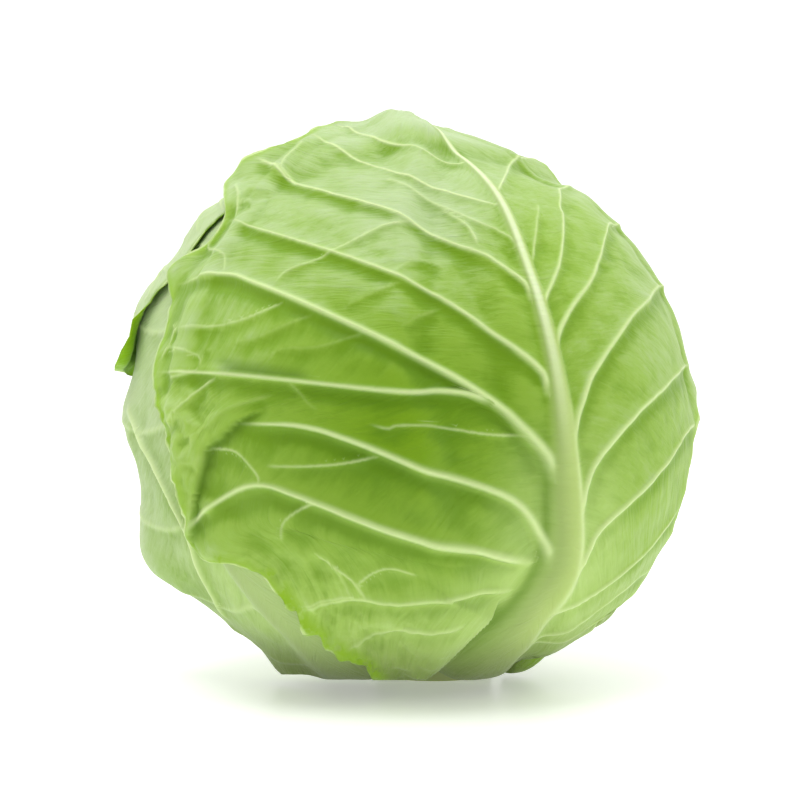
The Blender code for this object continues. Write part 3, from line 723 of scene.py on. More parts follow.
def net(leaf, sides, strength=1.0):
    """Thin crooked veins that join each side vein to the next."""
    draw = random.Random(leaf.facing + 11)
    found = []
    for side in sides:
        for k in range(len(leaf.rows[side]) - 1):
            for i in range(7):
                w = 0.12 + 0.125 * i + draw.uniform(-0.04, 0.04)
                path = [(0, w), (0.3, w + draw.uniform(-0.01, 0.06)), (0.62, w + draw.uniform(-0.05, 0.03)),
                        (1, w + 0.02)]
                points = [leaf.place(side, k + rise, min(v, 0.99)) for rise, v in path]
                height, skirt, pale = 0.25 * strength, 0.3 * strength, 0.4 * strength
                found.append(Vein(points, (1, 1), (height, height), (skirt, 2.4), (pale, pale), minor=True))
    return found


def front_leaf():
    midrib = ((14.5, -76.5), (16, -68), (17.5, -61), (23.5, -49.5), (28.5, -40), (31.5, -29.5),
              (31.5, -15.5), (30.5, -1), (29.5, 10), (27.5, 23.5), (25.5, 34), (21, 54), (14, 70), (5, 82),
              (2, 94), (2, 106))
    left_edge = ((9, -74), (5, -69), (-2, -66), (-8, -61), (-10, -54), (-15.5, -48.5), (-20.5, -44),
                 (-24.5, -38.7), (-28.5, -33.5), (-32.5, -30.6), (-37.5, -29), (-46, -30.5), (-47.5, -25.5),
                 (-47, -20.5), (-50, -15), (-57, -6), (-61.5, 3), (-64, 10), (-64, 17), (-65, 27),
                 (-67, 38), (-58, 44.5), (-51, 52.5), (-56, 65.5), (-42.5, 70.5), (-30, 76), (-25, 88))
    right_edge = ((21, -79), (25, -71), (30, -66.5), (35, -64.5), (46, -62), (52, -55), (62.5, -53),
                  (68, -48), (71, -41), (74, -32), (78.5, -22.5), (83, -15), (93, -5), (99, 8), (101, 22),
                  (98, 38), (90, 55), (78, 70), (64, 83), (50, 94))
    left_veins = (
        ((19.5, -58), (6, -57), (-4, -58), (-9, -58.5)),
        ((24.5, -46.5), (17.5, -42.5), (9.4, -41.8), (3, -43), (-3, -42.8), (-9, -45), (-15.5, -48.5)),
        ((29, -39), (20, -36.8), (11.4, -35.4), (5, -35.2), (-3, -36), (-12, -35.5), (-18, -37),
         (-24.5, -38.7)),
        ((31.5, -32), (24, -30), (14.5, -26.5), (-3, -20.5), (-21, -14.5), (-32, -12.5), (-42, -18),
         (-47, -24)),
        ((31.5, -24), (20, -15.5), (4, -9), (-12.5, -2.5), (-23.5, 0), (-38, -0.5), (-47, -5), (-57.5, -7)),
        ((31, -12), (20.5, -3), (9, 6.5), (-3, 7), (-25, 9), (-45, 10), (-64, 9.5)),
        ((30.8, -6), (22, -0.5), (16, 5), (4.5, 12), (-15, 21.5), (-35, 30), (-46, 33.5), (-66.5, 33)),
        ((29, 9), (19, 18.5), (5, 27.5), (-16, 36.5), (-36.5, 44.5), (-52, 51.5)),
        ((26.5, 27), (15, 38), (-4.5, 47.5), (-29.5, 58.5), (-38, 65), (-46, 69.5)),
        ((21.5, 51), (9, 54), (-3, 60), (-14, 66), (-30, 76)),
        ((14.5, 68), (6.5, 67), (-9.5, 72.5), (-25, 85)),
    )
    left_sizes = ((1.3, 0.7), (1.8, 1.0), (2.1, 1.1), (2.9, 1.0), (3.0, 1.0), (2.2, 0.9), (3.1, 1.0),
                  (2.2, 0.9), (1.8, 0.8), (0.8, 0.5), (0.9, 0.6))
    right_veins = (
        ((20.5, -56), (33, -57), (46, -56), (53, -54.5)),
        ((25.5, -46), (37, -50.5), (54, -45), (69, -46)),
        ((29.5, -37.5), (41, -39), (58, -35), (75, -29)),
        ((31.5, -28), (41, -23), (58, -15), (75, -8), (90, -8)),
        ((31.5, -14), (40, -7), (55, 2.5), (77, 10), (99.5, 10)),
        ((30.5, -1), (36, 7), (49.5, 20.5), (62, 28), (80, 37), (98, 37)),
        ((29, 14), (35.5, 25.5), (44.5, 33), (62, 53), (85, 61)),
        ((27.5, 24), (32, 33), (40.5, 48.5), (54, 71), (69, 79)),
        ((20.5, 55), (26, 66), (33, 80), (45, 92), (51, 93.5)),
    )
    right_sizes = ((1.4, 0.7), (1.9, 0.8), (2.5, 0.9), (2.9, 0.9), (2.8, 0.8), (2.5, 0.8), (1.9, 0.7),
                   (1.5, 0.6), (1.1, 0.5))
    left_tip = midrib[-1], (-10, 98), left_edge[-1]
    right_tip = midrib[-1], (18, 106), (34, 102), right_edge[-1]
    left = (midrib[0], left_edge[0]), left_veins, left_edge, left_tip
    right = (midrib[0], right_edge[0]), right_veins, right_edge, right_tip
    rib_widths = (22, 22, 19, 14, 11, 9, 7.5, 6, 5, 4, 3, 2.5, 2)
    leaf = Leaf("leaf_front", 0, midrib, rib_widths, 5.5, {-1: left, 1: right})
    leaf.vein_height, leaf.panel_swell, leaf.ruffle, leaf.phase = 2.6 * MM, 0.5 * MM, 1.4 * MM, 0.4
    side_fold = ((-29, 2.3), (-33, 1.8), (-36, 0.1), (-39.3, -2.9), (-42.9, -5.5), (-44.3, -10), (-44.8, -16),
                 (-45.2, -21), (-46.5, -26), (-47, -31))
    foot_fold = ((19, -38.5), (17, -42), (14.5, -44.5), (11.5, -48), (8.5, -51.5), (5.5, -55), (1, -59),
                 (-4, -66))
    high_fold = (-46, 12), (-40, 11.2), (-33, 10.5), (-26, 9.8), (-19, 9)
    leaf.folds = ((Curve(side_fold), 2.4, 12), (Curve(foot_fold), 4.2, 15), (Curve(high_fold), 0.8, 5))
    # Where each side vein is drawn, beside the row of the blade that it follows
    drawn = list(left_veins)
    drawn[1], drawn[2], drawn[3], drawn[4] = drawn[1][2:], drawn[2][1:], drawn[3][1:], drawn[4][:6]
    drawn[5] = ((15.8, 4.8), (11, 6.6), (5, 7.2), *drawn[5][3:])
    drawn[7] = ((27.3, 6.5), (26.3, 10.5), (22.3, 14.6), (18, 18.2), *drawn[7][2:])
    drawn[8] = ((25.2, 26.5), (24.4, 29.8), (21.6, 32.6), (18, 35.3), (14.6, 37.6), *drawn[8][2:])
    for i in (4, 6):
        drawn[i] = leaf.joined(drawn[i], -1)
    for i, (points, widths) in enumerate(zip(drawn, left_sizes)):
        rise, pale = 0.4 * widths[0], (0.55, 0.4) if i < 3 else (0.85, 0.85)
        if i:
            skirt = 0.36 * widths[0], 7.5
            leaf.veins.append(Vein(points, widths, (rise, 0.5 * rise), skirt, pale, 0.3 * widths[0]))
    drawn = [leaf.joined(points, 1) if i in (3, 4) else points for i, points in enumerate(right_veins)]
    drawn[1] = (25, -53), (31, -54), (40, -51), (54, -46), (69, -46)
    drawn[2] = (28.5, -44.5), (33.5, -43.5), (44, -40), (58, -35), (75, -29)
    drawn[5] = ((32.5, -4.5), (34.2, 1.5), (37.6, 8.5), (40.5, 11.9), (46.2, 17.5), (53.2, 23.5),
                (62, 28.5), (80, 37), (98, 37))
    drawn[6] = ((29.8, 15.5), (31.3, 19.5), (34.6, 24.2), (38, 28), (42.5, 32.5), (47, 38.4), (52.7, 46.5),
                (60, 55), (72, 60), (85, 61))
    drawn[7] = ((27.5, 24.5), (29.1, 27.5), (31.4, 31.3), (34.3, 36.4), (36.9, 43.3), (39.2, 50.8),
                (41.1, 58.1), (48, 70), (60, 77), (69, 79))
    for points, widths in zip(drawn, right_sizes):
        rise = 0.38 * widths[0]
        leaf.veins.append(Vein(points, widths, (rise, 0.45 * rise), (0.28 * widths[0], 6.5),
                               (0.8, 0.8), 0.18 * widths[0]))
    for points in FRONT_FORKS:
        leaf.veins.append(Vein(points, (1.1, 0.7), (0.4, 0.2), (0.35, 3.0), (0.7, 0.4), 0.3, minor=True))
    for points in FRONT_CREASES:
        leaf.veins.append(Vein(points, (1.2, 0.9), (0.25, 0.1), (0.4, 2.6), (0.15, 0.05), 0.3, minor=True))
    leaf.crumple, leaf.shaded_middle, leaf.valley = 1.0, 1.0, 1.0
    leaf.calm, leaf.press = (((60, 75), 32), ((-57, 46), 9)), 3.2 * MM
    return leaf


# Veins of the front leaf that fork from its side veins, in degrees on its chart
FRONT_FORKS = (
    ((25, 33), (22, 42), (12, 47), (-3, 57), (-8, 59)),
    ((27, 36), (30, 46.5), (33, 55)),
    ((-35.4, 63.7), (-34.2, 66.8), (-31.5, 70.2), (-30, 72.1)),
    ((-31, 59), (-35.4, 63.7), (-39.8, 65.7), (-43, 67)),
    ((-47.2, 50.7), (-46.9, 54.6), (-47.2, 57.6), (-50.4, 62)),
    ((-51.3, 50.4), (-53.3, 48.1), (-55.1, 46.2), (-56.5, 45)),
    ((-56.5, 45), (-55.8, 43.2), (-53.3, 42), (-50.3, 40.6), (-46.9, 38.8), (-46.3, 36.4), (-45.6, 33.9)),
    ((-1.4, 45.5), (-7.3, 43.9), (-14.3, 39.8), (-21.7, 35.8), (-28.5, 33.1), (-31.2, 29.7)),
    ((14.2, 39.8), (12.6, 43.9), (9.5, 47.2), (6.5, 49.8)),
    ((-29, 25.5), (-33, 23.5), (-39, 21.5), (-47, 20.5), (-57.5, 20.3)),
    ((-56.5, 20.4), (-59.2, 20.3), (-60.9, 21.8)),
    ((-59.2, 20.3), (-59.5, 17.4), (-59.8, 15.5)),
    ((-61.5, 12.9), (-59.8, 15.5), (-56, 15.4), (-51.3, 14.6), (-48.1, 13.1), (-48, 10.8)),
    ((-43.1, 8.8), (-47, 6.3), (-50.8, 2.9), (-54.6, -0.8), (-55.7, -3.5)),
    ((-47.9, 10.5), (-52.3, 9.2), (-57, 8.3)),
    ((22.6, -2.5), (14.7, -1.8), (6.1, -0.3), (2.2, 0.4), (-3.4, 0.4), (-5.3, -0.2), (-9.1, 0.7)),
    ((-7.6, -5.8), (-13.9, -7.1), (-20.4, -7.9), (-24.6, -8.2), (-30.2, -8.5)),
    ((-42.9, -6.3), (-38.6, -5.9), (-36.1, -6.5), (-34, -8.2), (-31.3, -10.6), (-31.1, -12.4)),
    ((-19.6, -15.2), (-23.2, -17.2), (-25.4, -19), (-26.3, -20.8), (-26.5, -24)),
    ((-18.9, -26), (-14.4, -29.3), (-11.9, -31.5), (-10.5, -33.9), (-9.4, -35.5)),
    ((-11.4, -31.9), (-7.8, -28.9), (-4.1, -28), (0.9, -29.8)),
)

# Creases of the front leaf between its veins
FRONT_CREASES = (
    ((-46.2, 57), (-44, 58.7), (-40, 58.2), (-37.8, 58.4)),
    ((-45.9, 54.3), (-44.3, 54.6), (-43.1, 55)),
    ((-4.4, 32.4), (-2.3, 34.2), (0, 35.7), (3.4, 35.9), (6.9, 34.5)),
    ((-3.5, 30), (-8, 27.9), (-11.1, 26.2), (-13.8, 24.8), (-14.9, 23.2)),
    ((5.1, 24.6), (0.9, 22.9), (-1.5, 21.3), (-3.3, 19.9)),
    ((-9.6, 19), (-13.4, 17.9), (-17.1, 16.6), (-21.3, 15.7), (-27.4, 15.5), (-30.2, 14.1)),
    ((-21.9, 22.6), (-26.3, 20.9), (-31, 19), (-34.8, 17.6), (-39.9, 16.9)),
    ((-48.1, 13.1), (-47.1, 14.7), (-45.3, 15.2)),
    ((-29.7, 5.7), (-33.2, 4.6), (-39.2, 2.4), (-42.7, -0.4), (-46.1, -2.9), (-49.9, -4.5), (-56.2, -7.1)),
    ((-52.1, 1.1), (-47.4, -1.2), (-44.8, -1.8)),
    ((-52, 0.7), (-54.8, -3.6)),
    ((-25.3, 8.7), (-23.1, 6.5), (-20.9, 4.2), (-19, 3.2)),
    ((-46.2, -9.2), (-49.9, -10), (-51.1, -14)),
    ((-12, -36), (-16, -28), (-19, -25)),
)


class Paint:
    """A shader socket that takes Python's operators, each of which adds its node."""

    def __init__(self, pot, socket):
        self.pot, self.socket = pot, socket

    def maths(self, operation, *others):
        return self.pot.add("ShaderNodeMath", {"operation": operation}, [self, *others])

    def __add__(self, other):
        return self.maths("ADD", other)

    def __mul__(self, other):
        return self.maths("MULTIPLY", other)

    def __sub__(self, other):
        return self.maths("SUBTRACT", other)

    def __truediv__(self, other):
        return self.maths("DIVIDE", other)

    def __rsub__(self, other):
        return self.pot.add("ShaderNodeMath", {"operation": "SUBTRACT"}, [other, self])

    __radd__ = __add__

    def step(self, low, high):
        """0 at low, 1 at high, and a soft rise between."""
        ends = {"Value": self, "From Min": low, "From Max": high}
        return self.pot.add("ShaderNodeMapRange", {"interpolation_type": "SMOOTHSTEP"}, ends)


class Pot:
    """A material and its nodes."""

    def __init__(self, name, **constants):
        self.material = bpy.data.materials.new(name)
        self.material.use_nodes = True
        self.tree = self.material.node_tree
        self.shader = self.tree.nodes["Principled BSDF"]
        for socket, value in constants.items():
            self.shader.inputs[socket.replace("_", " ")].default_value = value

    def link(self, socket, value):
        if isinstance(value, Paint):
            self.tree.links.new(value.socket, socket)
        else:
            socket.default_value = value

    def add(self, kind, settings=None, inputs=(), output=0):
        node = self.tree.nodes.new(kind)
        for name, value in (settings or {}).items():
            setattr(node, name, value)
        for key, value in (inputs.items() if isinstance(inputs, dict) else enumerate(inputs)):
            self.link(node.inputs[key], value)
        return Paint(self, node.outputs[output])

    def note(self, name):
        """What the piece's mesh says at each point under this name."""
        return self.add("ShaderNodeAttribute", {"attribute_name": name}, output="Fac")

    def mix(self, share, one, other):
        """One colour, or another where the share is 1. The node keeps its colours in sockets 6 and 7."""
        node = self.tree.nodes.new("ShaderNodeMix")
        node.data_type = "RGBA"
        self.link(node.inputs["Factor"], share)
        for socket, value in ((node.inputs[6], one), (node.inputs[7], other)):
            self.link(socket, value)
        return Paint(self, node.outputs[2])

    def hump(self, place, fall):
        """1 where a value is 0, and falling to 0 on both sides of that."""
        return (place * place * -fall).maths("EXPONENT")

    def noise(self, place, scale, detail=3.0, roughness=0.55, distortion=0.0):
        return self.add("ShaderNodeTexNoise", {}, {"Vector": place, "Scale": scale, "Detail": detail,
                        "Roughness": roughness, "Distortion": distortion}, output="Fac")

    def bump(self, height, distance, strength=1.0, under=None):
        inputs = {"Height": height, "Distance": distance, "Strength": strength}
        if under:
            inputs["Normal"] = under
        return self.add("ShaderNodeBump", {}, inputs)


def colour(*channels):
    """A colour whose three channels are given from 0 to 255, as screens show them."""
    return (*(((c / 255 + 0.055) / 1.055) ** 2.4 if c > 10 else c / 255 / 12.92 for c in channels), 1)


# Tints of the front leaf, and of the waxy leaves under it where theirs differ
# Painted light among these tints: the deep, valley, fold, near-ground and foot tints paint shade; the pale
# waxy tint is partly painted sheen; the light tint is partly painted light from the floor.
GREEN = {
    "lamina": colour(148, 184, 70), "deep": colour(118, 158, 28),
    "shaded_middle_lamina": colour(112, 152, 8), "shaded_middle_deep": colour(92, 134, 2),
    "bloom_and_sheen": colour(178, 200, 146), "light": colour(184, 214, 112), "by_rib": colour(184, 212, 126),
    "vein": colour(218, 236, 170), "rib": colour(180, 202, 118), "rib_top": colour(232, 242, 208),
    "foot": colour(150, 172, 100), "ground_shade": colour(104, 120, 56), "valley": colour(96, 134, 22),
    "crease": colour(84, 122, 6), "margin": colour(146, 186, 44), "inner": colour(140, 182, 14),
}
PALE_LAMINA, PALE_DEEP = colour(144, 178, 80), colour(120, 156, 44)
PALE = GREEN | {
    "lamina": PALE_LAMINA, "shaded_middle_lamina": PALE_LAMINA, "margin": PALE_LAMINA,
    "deep": PALE_DEEP, "shaded_middle_deep": PALE_DEEP,
    "bloom_and_sheen": colour(178, 200, 142), "rib": colour(172, 196, 124),
}

# What the leaf's mesh says at each point
LEAF_NOTES = ("cavity", "upward", "shade", "crease", "valley", "crumpled", "turned", "clear", "middle",
              "rib_across", "rib_share", "edge_depth", "inner_side")


def leaf_fields(pot):
    """The notes and noises that a leaf's tints vary with."""
    here = SimpleNamespace(**{name: pot.note(name) for name in LEAF_NOTES})
    here.place = pot.add("ShaderNodeTexCoord", output="Object")
    here.broad, here.small = pot.noise(here.place, BROAD, 3.0), pot.noise(here.place, SMALL, 4.0, 0.6)
    here.fibres = pot.noise(here.place, FIBRES, 4.0, 0.65)
    half, rows = pot.note("across_half").maths("ABSOLUTE"), pot.note("up_leaf") * ROWS_UP
    slant = rows * WRINKLES_SLANT
    woven = pot.add("ShaderNodeCombineXYZ", {}, [half * WRINKLES_ACROSS + slant, rows * WRINKLES_UP])
    here.wrinkles = pot.noise(woven, 1.0, 3.0, 0.6, 0.7)
    slant = slant * STROKES_SLANT
    brushed = pot.add("ShaderNodeCombineXYZ", {}, [half * STROKES_ACROSS + slant, rows * STROKES_UP])
    here.strokes = pot.noise(brushed, 1.0, 4.0, 0.65, 0.4)
    here.core, here.minor = (pot.hump(pot.note(kind + "_across"), VEIN_FALL) * pot.note(kind + "_pale")
                       for kind in ("vein", "minor"))
    here.reach = here.rib_across.maths("ABSOLUTE")
    return here


def blade_tone(pot, here, tints, veil, under):
    """The blade between its veins: painted shade, a deeper green, in its hollows, below its veins, in its
    middle and less where it faces up, with random mottling; paler with its waxy coat, with painted sheen and
    with painted light.
    """
    # Painted shade: a deeper green in the hollows and below the veins, less where the blade faces up, mixed
    # with random mottling from the noises.
    hollow = here.cavity * 0.9 + here.shade * 0.85 + (0.5 - here.small) * 0.7 + (0.5 - here.broad) * 0.6
    hollow = hollow + (0.5 - here.fibres) * 0.5 + (0.5 - here.wrinkles) * 0.9
    hollow = hollow + (0.5 - here.strokes) * 0.8 + (0.5 - here.small) * here.crumpled * 1.6
    hollow = (hollow - here.upward * 0.2).step(-0.3, 0.95)
    tone = pot.mix(hollow, pot.mix(here.middle, tints["lamina"], tints["shaded_middle_lamina"]),
                   pot.mix(here.middle, tints["deep"], tints["shaded_middle_deep"]))
    # Painted sheen: the pale waxy tint where the blade faces up to the overhead light or down to the bright
    # floor, less in its middle and its clear patches, with a patchy real waxy coat from the noises and the
    # veil.
    sheen_and_wax = here.upward * 0.88 + veil - here.middle * 0.85 - here.clear * 0.5
    sheen_and_wax = sheen_and_wax + (here.small - 0.5) * here.crumpled * 0.8 + (here.broad - 0.5) * 0.9
    sheen_and_wax = sheen_and_wax + (here.small - 0.5) * 0.6 + (here.wrinkles - 0.5) * 0.5 - here.cavity * 0.25
    sheen_and_wax = sheen_and_wax - here.shade * 0.3 + (0 - here.upward).step(0.0, 0.8) * under + (here.strokes - 0.5) * 0.6
    tone = pot.mix(sheen_and_wax.step(0.12, 1.35), tone, tints["bloom_and_sheen"])
    paler = (here.crumpled * (here.small + here.wrinkles - 0.55)).step(0.0, 0.9)
    tone = pot.mix(paler * 0.8, tone, tints["light"])
    by_rib = (1 - here.reach.step(1.5, 7.0)) * (1 - here.rib_share.step(0.34, 0.52))
    by_rib = by_rib * (here.wrinkles + 0.5)
    tone = pot.mix(by_rib * 0.6, tone, tints["by_rib"])
    # Painted light: a paler green where the blade faces down to the bright floor.
    tone = pot.mix((0 - here.upward).step(0.2, 0.95) * under * 0.4, tone, tints["light"])
    # Painted shade: a deeper green in the valley beside the midrib.
    return pot.mix(here.valley * 0.6, tone, tints["valley"])


def vein_tone(pot, here, tints, tone):
    """The blade's tone with its margin, a painted highlight along its very edge, painted shadow below its
    folds, and its side veins.
    """
    tone = pot.mix((1 - here.edge_depth.step(0.2, 3.5)) * (0.3 + here.small * 0.8), tone, tints["margin"])
    # Painted highlight: a pale line along the very edge of the leaf.
    tone = pot.mix((1 - here.edge_depth.step(0.1, 0.9)) * 0.6, tone, tints["vein"])
    # Painted shadow below each fold.
    tone = pot.mix(here.crease * 0.85, tone, tints["crease"])
    tone = pot.mix(here.minor * 0.7, tone, tints["vein"])
    return pot.mix(here.core * 0.9, tone, tints["vein"])


def rib_tone(pot, here, tints, tone):
    """The leaf's tone with its midrib: painted shade on its left flank and a painted highlight along its
    right edge, dull at the foot, almost white near the tip.
    """
    stalk = (1 - here.reach.step(0.45, 1.35)) * (1 - here.rib_share.step(0.55, 1.1) * 0.35)
    # Painted shade and light across the rib: the foot tint on its left flank, the rib tint on its lit right
    # side.
    lit = (here.rib_across + (here.broad - 0.5) * 0.8).step(-1.0, 0.7)
    tone = pot.mix(stalk * 0.85, tone, pot.mix(lit, tints["foot"], tints["rib"]))
    bright = (1 - here.reach.step(0.1, 0.8)) * here.rib_share.step(0.4, 0.65)
    tone = pot.mix(bright * 0.85, tone, pot.mix(here.small, tints["vein"], tints["rib_top"]))
    # Painted highlight along the rib's right edge.
    rim = pot.hump((here.rib_across - 0.85) / 0.22, 1) * here.rib_share.step(0.08, 0.16)
    tone = pot.mix(rim * (1 - here.rib_share.step(0.4, 0.55)) * 0.5, tone, tints["vein"])
    base = (1 - here.rib_share.step(0.03, 0.2)) * (1 - here.reach.step(1.0, 2.6))
    return pot.mix(base * 0.75, tone, tints["foot"])


def foot_tone(pot, here, tints, tone):
    """The leaf's tone with painted shade low down near the ground, and its bright inner side where an edge
    turns over.
    """
    height = pot.add("ShaderNodeSeparateXYZ", {}, [here.place], output="Z") / MM
    # Painted shade: a dull olive low down, where the leaf nears the ground.
    tone = pot.mix((1 - (height + (here.broad - 0.5) * 8).step(2.0, 26.0)) * 0.85, tone, tints["ground_shade"])
    spots = here.crumpled * (1 - here.edge_depth.step(1.5, 6.0))
    spots = spots * (here.small - here.broad * 0.5).step(0.22, 0.3)
    for share in (spots * 0.8, here.turned * 0.9, here.inner_side.step(0.4, 0.6)):
        tone = pot.mix(share, tone, tints["inner"])
    return tone


def leaf_paint(name, tints, veil, under):
    """A leaf's material, with this much waxy coat all over it, and this much painted sheen and painted light
    where it faces down to the floor.
    """
    pot = Pot(name, Roughness=0.42, Specular_IOR_Level=0.15, Subsurface_Weight=0.08, Subsurface_Scale=0.003,
              Sheen_Weight=0.12, Sheen_Roughness=0.5)
    pot.shader.inputs["Subsurface Radius"].default_value = (0.5, 1.0, 0.15)
    here = leaf_fields(pot)
    tone = vein_tone(pot, here, tints, blade_tone(pot, here, tints, veil, under))
    tone = foot_tone(pot, here, tints, rib_tone(pot, here, tints, tone))
    pot.link(pot.shader.inputs["Base Color"], tone)
    pot.link(pot.shader.inputs["Roughness"], 0.40 + here.small * 0.14 - here.core * 0.04)
    normal = None
    for height, distance, strength in ((here.small * 1.2, 0.3, 0.6), (here.wrinkles, 0.6, 0.8),
                                       (here.core + here.minor * 0.6, 0.4, 0.7), (here.strokes, 0.25, 0.7),
                                       (here.fibres, 0.07, 0.6)):
        normal = pot.bump(height, distance * MM, strength, normal)
    pot.link(pot.shader.inputs["Normal"], normal)
    return pot.material


def build_heart(material):
    """A ball of packed leaves, whose edges step down round the crown."""
    bpy.ops.object.select_all(action="DESELECT")
    bpy.ops.mesh.primitive_uv_sphere_add(segments=160, ring_count=100, radius=1)
    obj = bpy.context.object
    obj.name = obj.data.name = "heart_leaves"
    mesh = obj.data
    flat = np.zeros(len(mesh.vertices) * 3)
    mesh.vertices.foreach_get("co", flat)
    directions = flat.reshape(-1, 3)
    directions /= np.linalg.norm(directions, axis=1, keepdims=True)
    radius = heart_radius(directions) - HEART_CLEARANCE
    top_leaf = np.zeros(len(directions))
    for facing in HEAD_LEAVES:
        points = unwrap(directions, facing)
        under = smooth_step((np.hypot(points[:, 0], points[:, 1]) - HEAD_LEAF_REACH) / 3 + 0.5)
        top_leaf = under * (top_leaf + 1)
    radius -= HEAD_LEAF_STEP * top_leaf
    mesh.vertices.foreach_set("co", (HEAD_CENTRE + directions * radius[:, None]).ravel())
    bpy.ops.object.shade_smooth()
    mesh.materials.append(material)
    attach(obj, "root")
    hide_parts("heart")
    return obj


def build_stem(material):
    """The cut stem, turned from its side, with flat rings on its cut face."""
    height, wide = 1.0, STEM_SIDE[0][0]
    bpy.ops.object.select_all(action="DESELECT")
    bpy.ops.mesh.primitive_cylinder_add(vertices=STEM_SEGMENTS, radius=wide * MM, depth=height * MM,
                                        location=(0, 0, 0.5 * height * MM))
    obj = bpy.context.object
    obj.name = obj.data.name = "stem_stump"
    bpy.ops.object.transform_apply(location=True, rotation=True, scale=True)
    bpy.ops.object.mode_set(mode="EDIT")
    bpy.ops.mesh.select_mode(type="FACE")
    bpy.ops.object.mode_set(mode="OBJECT")
    for face in obj.data.polygons:
        face.select = face.normal.z > 0.9
    bpy.ops.object.mode_set(mode="EDIT")
    for radius, level in STEM_SIDE[1:]:
        top = max(level, 1.2)
        rise = (0, 0, (top - height) * MM)
        bpy.ops.mesh.extrude_region_move(TRANSFORM_OT_translate={"value": rise})
        bpy.ops.transform.resize(value=(radius / wide, radius / wide, 1), center_override=(0, 0, level * MM))
        height, wide = top, radius
    bpy.ops.object.mode_set(mode="OBJECT")
    for face in obj.data.polygons:
        face.select = face.normal.z < -0.9 and face.center.z < 0.1 * MM
    bpy.ops.object.mode_set(mode="EDIT")
    for ring in STEM_RINGS:
        bpy.ops.mesh.inset(thickness=ring * MM)
    bpy.ops.object.mode_set(mode="OBJECT")
    bpy.ops.object.shade_smooth()
    obj.data.materials.append(material)
    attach(obj, "root")
    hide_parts("cut_stem")
    return obj


def build_cabbage():
    green = leaf_paint("leaf_green", GREEN, 0.13, 1.0)
    pale = leaf_paint("leaf_pale_green", PALE, 0.85, 0.0)
    midrib = (-0.2, -72), (1, -45), (3, 0), (2, 50), (0, 92)
    right = plain_leaf("leaf_right", 92, midrib, (66, 66), (17, 14, 10, 7, 4, 2), 4.2)
    midrib = ((6, -79), (16, -66), (22, -52), (20, -40), (16, -28), (12, -15), (8, 0), (4, 20), (2, 45),
              (0, 65), (0, 84))
    left = plain_leaf("leaf_left", -60, midrib, (72, 48), (24, 23, 18, 12, 8, 5, 3), 4.6, ribs=0.45)
    low_vein = (-24, -2), (-14, -9), (-4, -16), (0.5, -24), (-0.5, -31), (-5, -41.5), (-14, -52)
    left.veins.append(Vein(low_vein, (2.6, 2.2), (1.0, 0.8), (0.8, 6), (0.9, 0.7), 0.4))
    midrib = (-8, -70), (-4, -45), (3, 0), (4, 50), (0, 100)
    back = plain_leaf("leaf_back", -165, midrib, (56, 82), (20, 17, 12, 8, 5, 2), 4.6, BACK_EDGE)
    right.turned, left.swell = 1.0, 2.3 * MM
    back.ruffle, back.phase, back.curl = 0.8 * MM, 3.1, (1, 5, 30)
    front = front_leaf()
    order = (right, left, back, front)
    for i, leaf in enumerate(order):
        build_leaf(leaf, order[:i], order[i + 1:], green if leaf is front else pale)
    build_heart(heart_paint())
    build_stem(stem_paint())


def heart_paint():
    pot = Pot("heart_green", Roughness=0.45, Subsurface_Weight=0.15, Subsurface_Scale=0.004)
    place = pot.add("ShaderNodeTexCoord", output="Object")
    broad, small = pot.noise(place, 30.0), pot.noise(place, 120.0, 4.0)
    tone = pot.mix((broad + small - 1).step(-0.3, 0.3), colour(150, 184, 96), colour(196, 216, 150))
    pot.link(pot.shader.inputs["Base Color"], tone)
    pot.link(pot.shader.inputs["Normal"], pot.bump(small, 0.4 * MM, 0.6))
    return pot.material


def stem_paint():
    pot = Pot("stem_pale", Roughness=0.6, Subsurface_Weight=0.1, Subsurface_Scale=0.003)
    place = pot.add("ShaderNodeTexCoord", output="Object")
    flat = pot.add("ShaderNodeMapping", {}, {"Vector": place, "Scale": (1, 1, 0)})
    middle = pot.add("ShaderNodeVectorMath", {"operation": "LENGTH"}, [flat], output="Value") / MM
    small = pot.noise(place, 260.0, 4.0, 0.65)
    ring = 1 - (middle - 12.5 + (small - 0.5) * 3).maths("ABSOLUTE").step(0.2, 2.4)
    tone = pot.mix(small, colour(222, 220, 178), colour(196, 196, 140))
    tone = pot.mix(ring * 0.7, tone, colour(178, 176, 112))
    tone = pot.mix(middle.step(14.5, 17.5), tone, colour(184, 196, 132))
    pot.link(pot.shader.inputs["Base Color"], tone)
    pot.link(pot.shader.inputs["Normal"], pot.bump(small + ring * 0.5, 0.3 * MM, 0.8))
    return pot.material


# Light of the white room, on the camera's side and on the far side
DIM_SIDE = 0.3
BRIGHT_SIDE = 1.1

# Floor of the white room, which glows a little
FLOOR_SIZE = 60
FLOOR_WHITE = 0.93, 0.93, 0.93, 1
FLOOR_GLOW = 0.28
WHITE = 1, 1, 1, 1

# Camera: where the photograph was taken from
ELEVATION = 6.0
DISTANCE = 1.6
LENS = 228.8
SENSOR = 36
AIM_RIGHT = -4.4 * MM
AIM_UP = -0.94 * MM


def look_at(obj, place, target):
    obj.location = place
    obj.rotation_euler = (Vector(target) - Vector(place)).to_track_quat("-Z", "Y").to_euler()


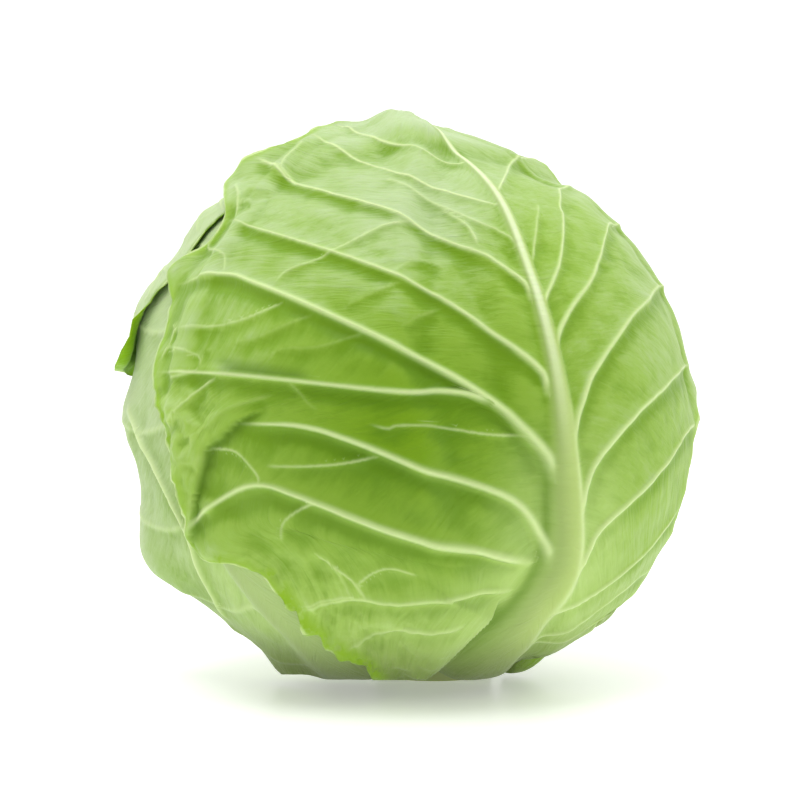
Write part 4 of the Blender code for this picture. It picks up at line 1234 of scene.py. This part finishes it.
def soft_light(name, place, target, size, power, tint=(1, 1, 1)):
    light = bpy.data.lights.new(name, "AREA")
    light.shape = "RECTANGLE"
    light.size, light.size_y = size
    light.energy = power
    light.color = tint
    obj = bpy.data.objects.new(name, light)
    bpy.context.scene.collection.objects.link(obj)
    look_at(obj, place, target)


def build_studio():
    bpy.ops.object.select_all(action="DESELECT")
    bpy.ops.mesh.primitive_plane_add(size=FLOOR_SIZE)
    floor = bpy.context.object
    floor.name = "floor"
    pot = Pot("white_floor", Roughness=0.35)
    pot.shader.inputs["Base Color"].default_value = FLOOR_WHITE
    pot.shader.inputs["Emission Color"].default_value = WHITE
    pot.shader.inputs["Emission Strength"].default_value = FLOOR_GLOW
    floor.data.materials.append(pot.material)
    world = bpy.data.worlds.new("white_room")
    bpy.context.scene.world = world
    world.use_nodes = True
    nodes, links = world.node_tree.nodes, world.node_tree.links
    way = nodes.new("ShaderNodeSeparateXYZ")
    links.new(nodes.new("ShaderNodeTexCoord").outputs["Generated"], way.inputs[0])
    dimmer = nodes.new("ShaderNodeMapRange")
    levels = {"From Min": -1.0, "From Max": 0.25, "To Min": DIM_SIDE, "To Max": BRIGHT_SIDE}
    for socket, value in levels.items():
        dimmer.inputs[socket].default_value = value
    links.new(way.outputs["Y"], dimmer.inputs["Value"])
    links.new(dimmer.outputs["Result"], nodes["Background"].inputs["Strength"])
    nodes["Background"].inputs["Color"].default_value = WHITE
    soft_light("overhead", (-0.18, -0.15, 1.2), (0, 0, 0.09), (0.9, 0.8), 8.5)
    soft_light("right_window", (1.3, -0.5, 0.5), (0, 0, 0.09), (0.8, 0.8), 2.4)
    bpy.context.scene.view_settings.view_transform = "Standard"
    camera = bpy.data.objects.new("camera", bpy.data.cameras.new("camera"))
    bpy.context.scene.collection.objects.link(camera)
    bpy.context.scene.camera = camera
    camera.data.lens = LENS
    camera.data.sensor_width = SENSOR
    tilt = math.radians(ELEVATION)
    right = np.array((1, 0, 0))
    ahead = np.array((0, math.cos(tilt), -math.sin(tilt)))
    up = np.array((0, math.sin(tilt), math.cos(tilt)))
    aim = HEAD_CENTRE + right * AIM_RIGHT + up * AIM_UP
    look_at(camera, aim - ahead * DISTANCE, aim)


build_cabbage()
build_studio()
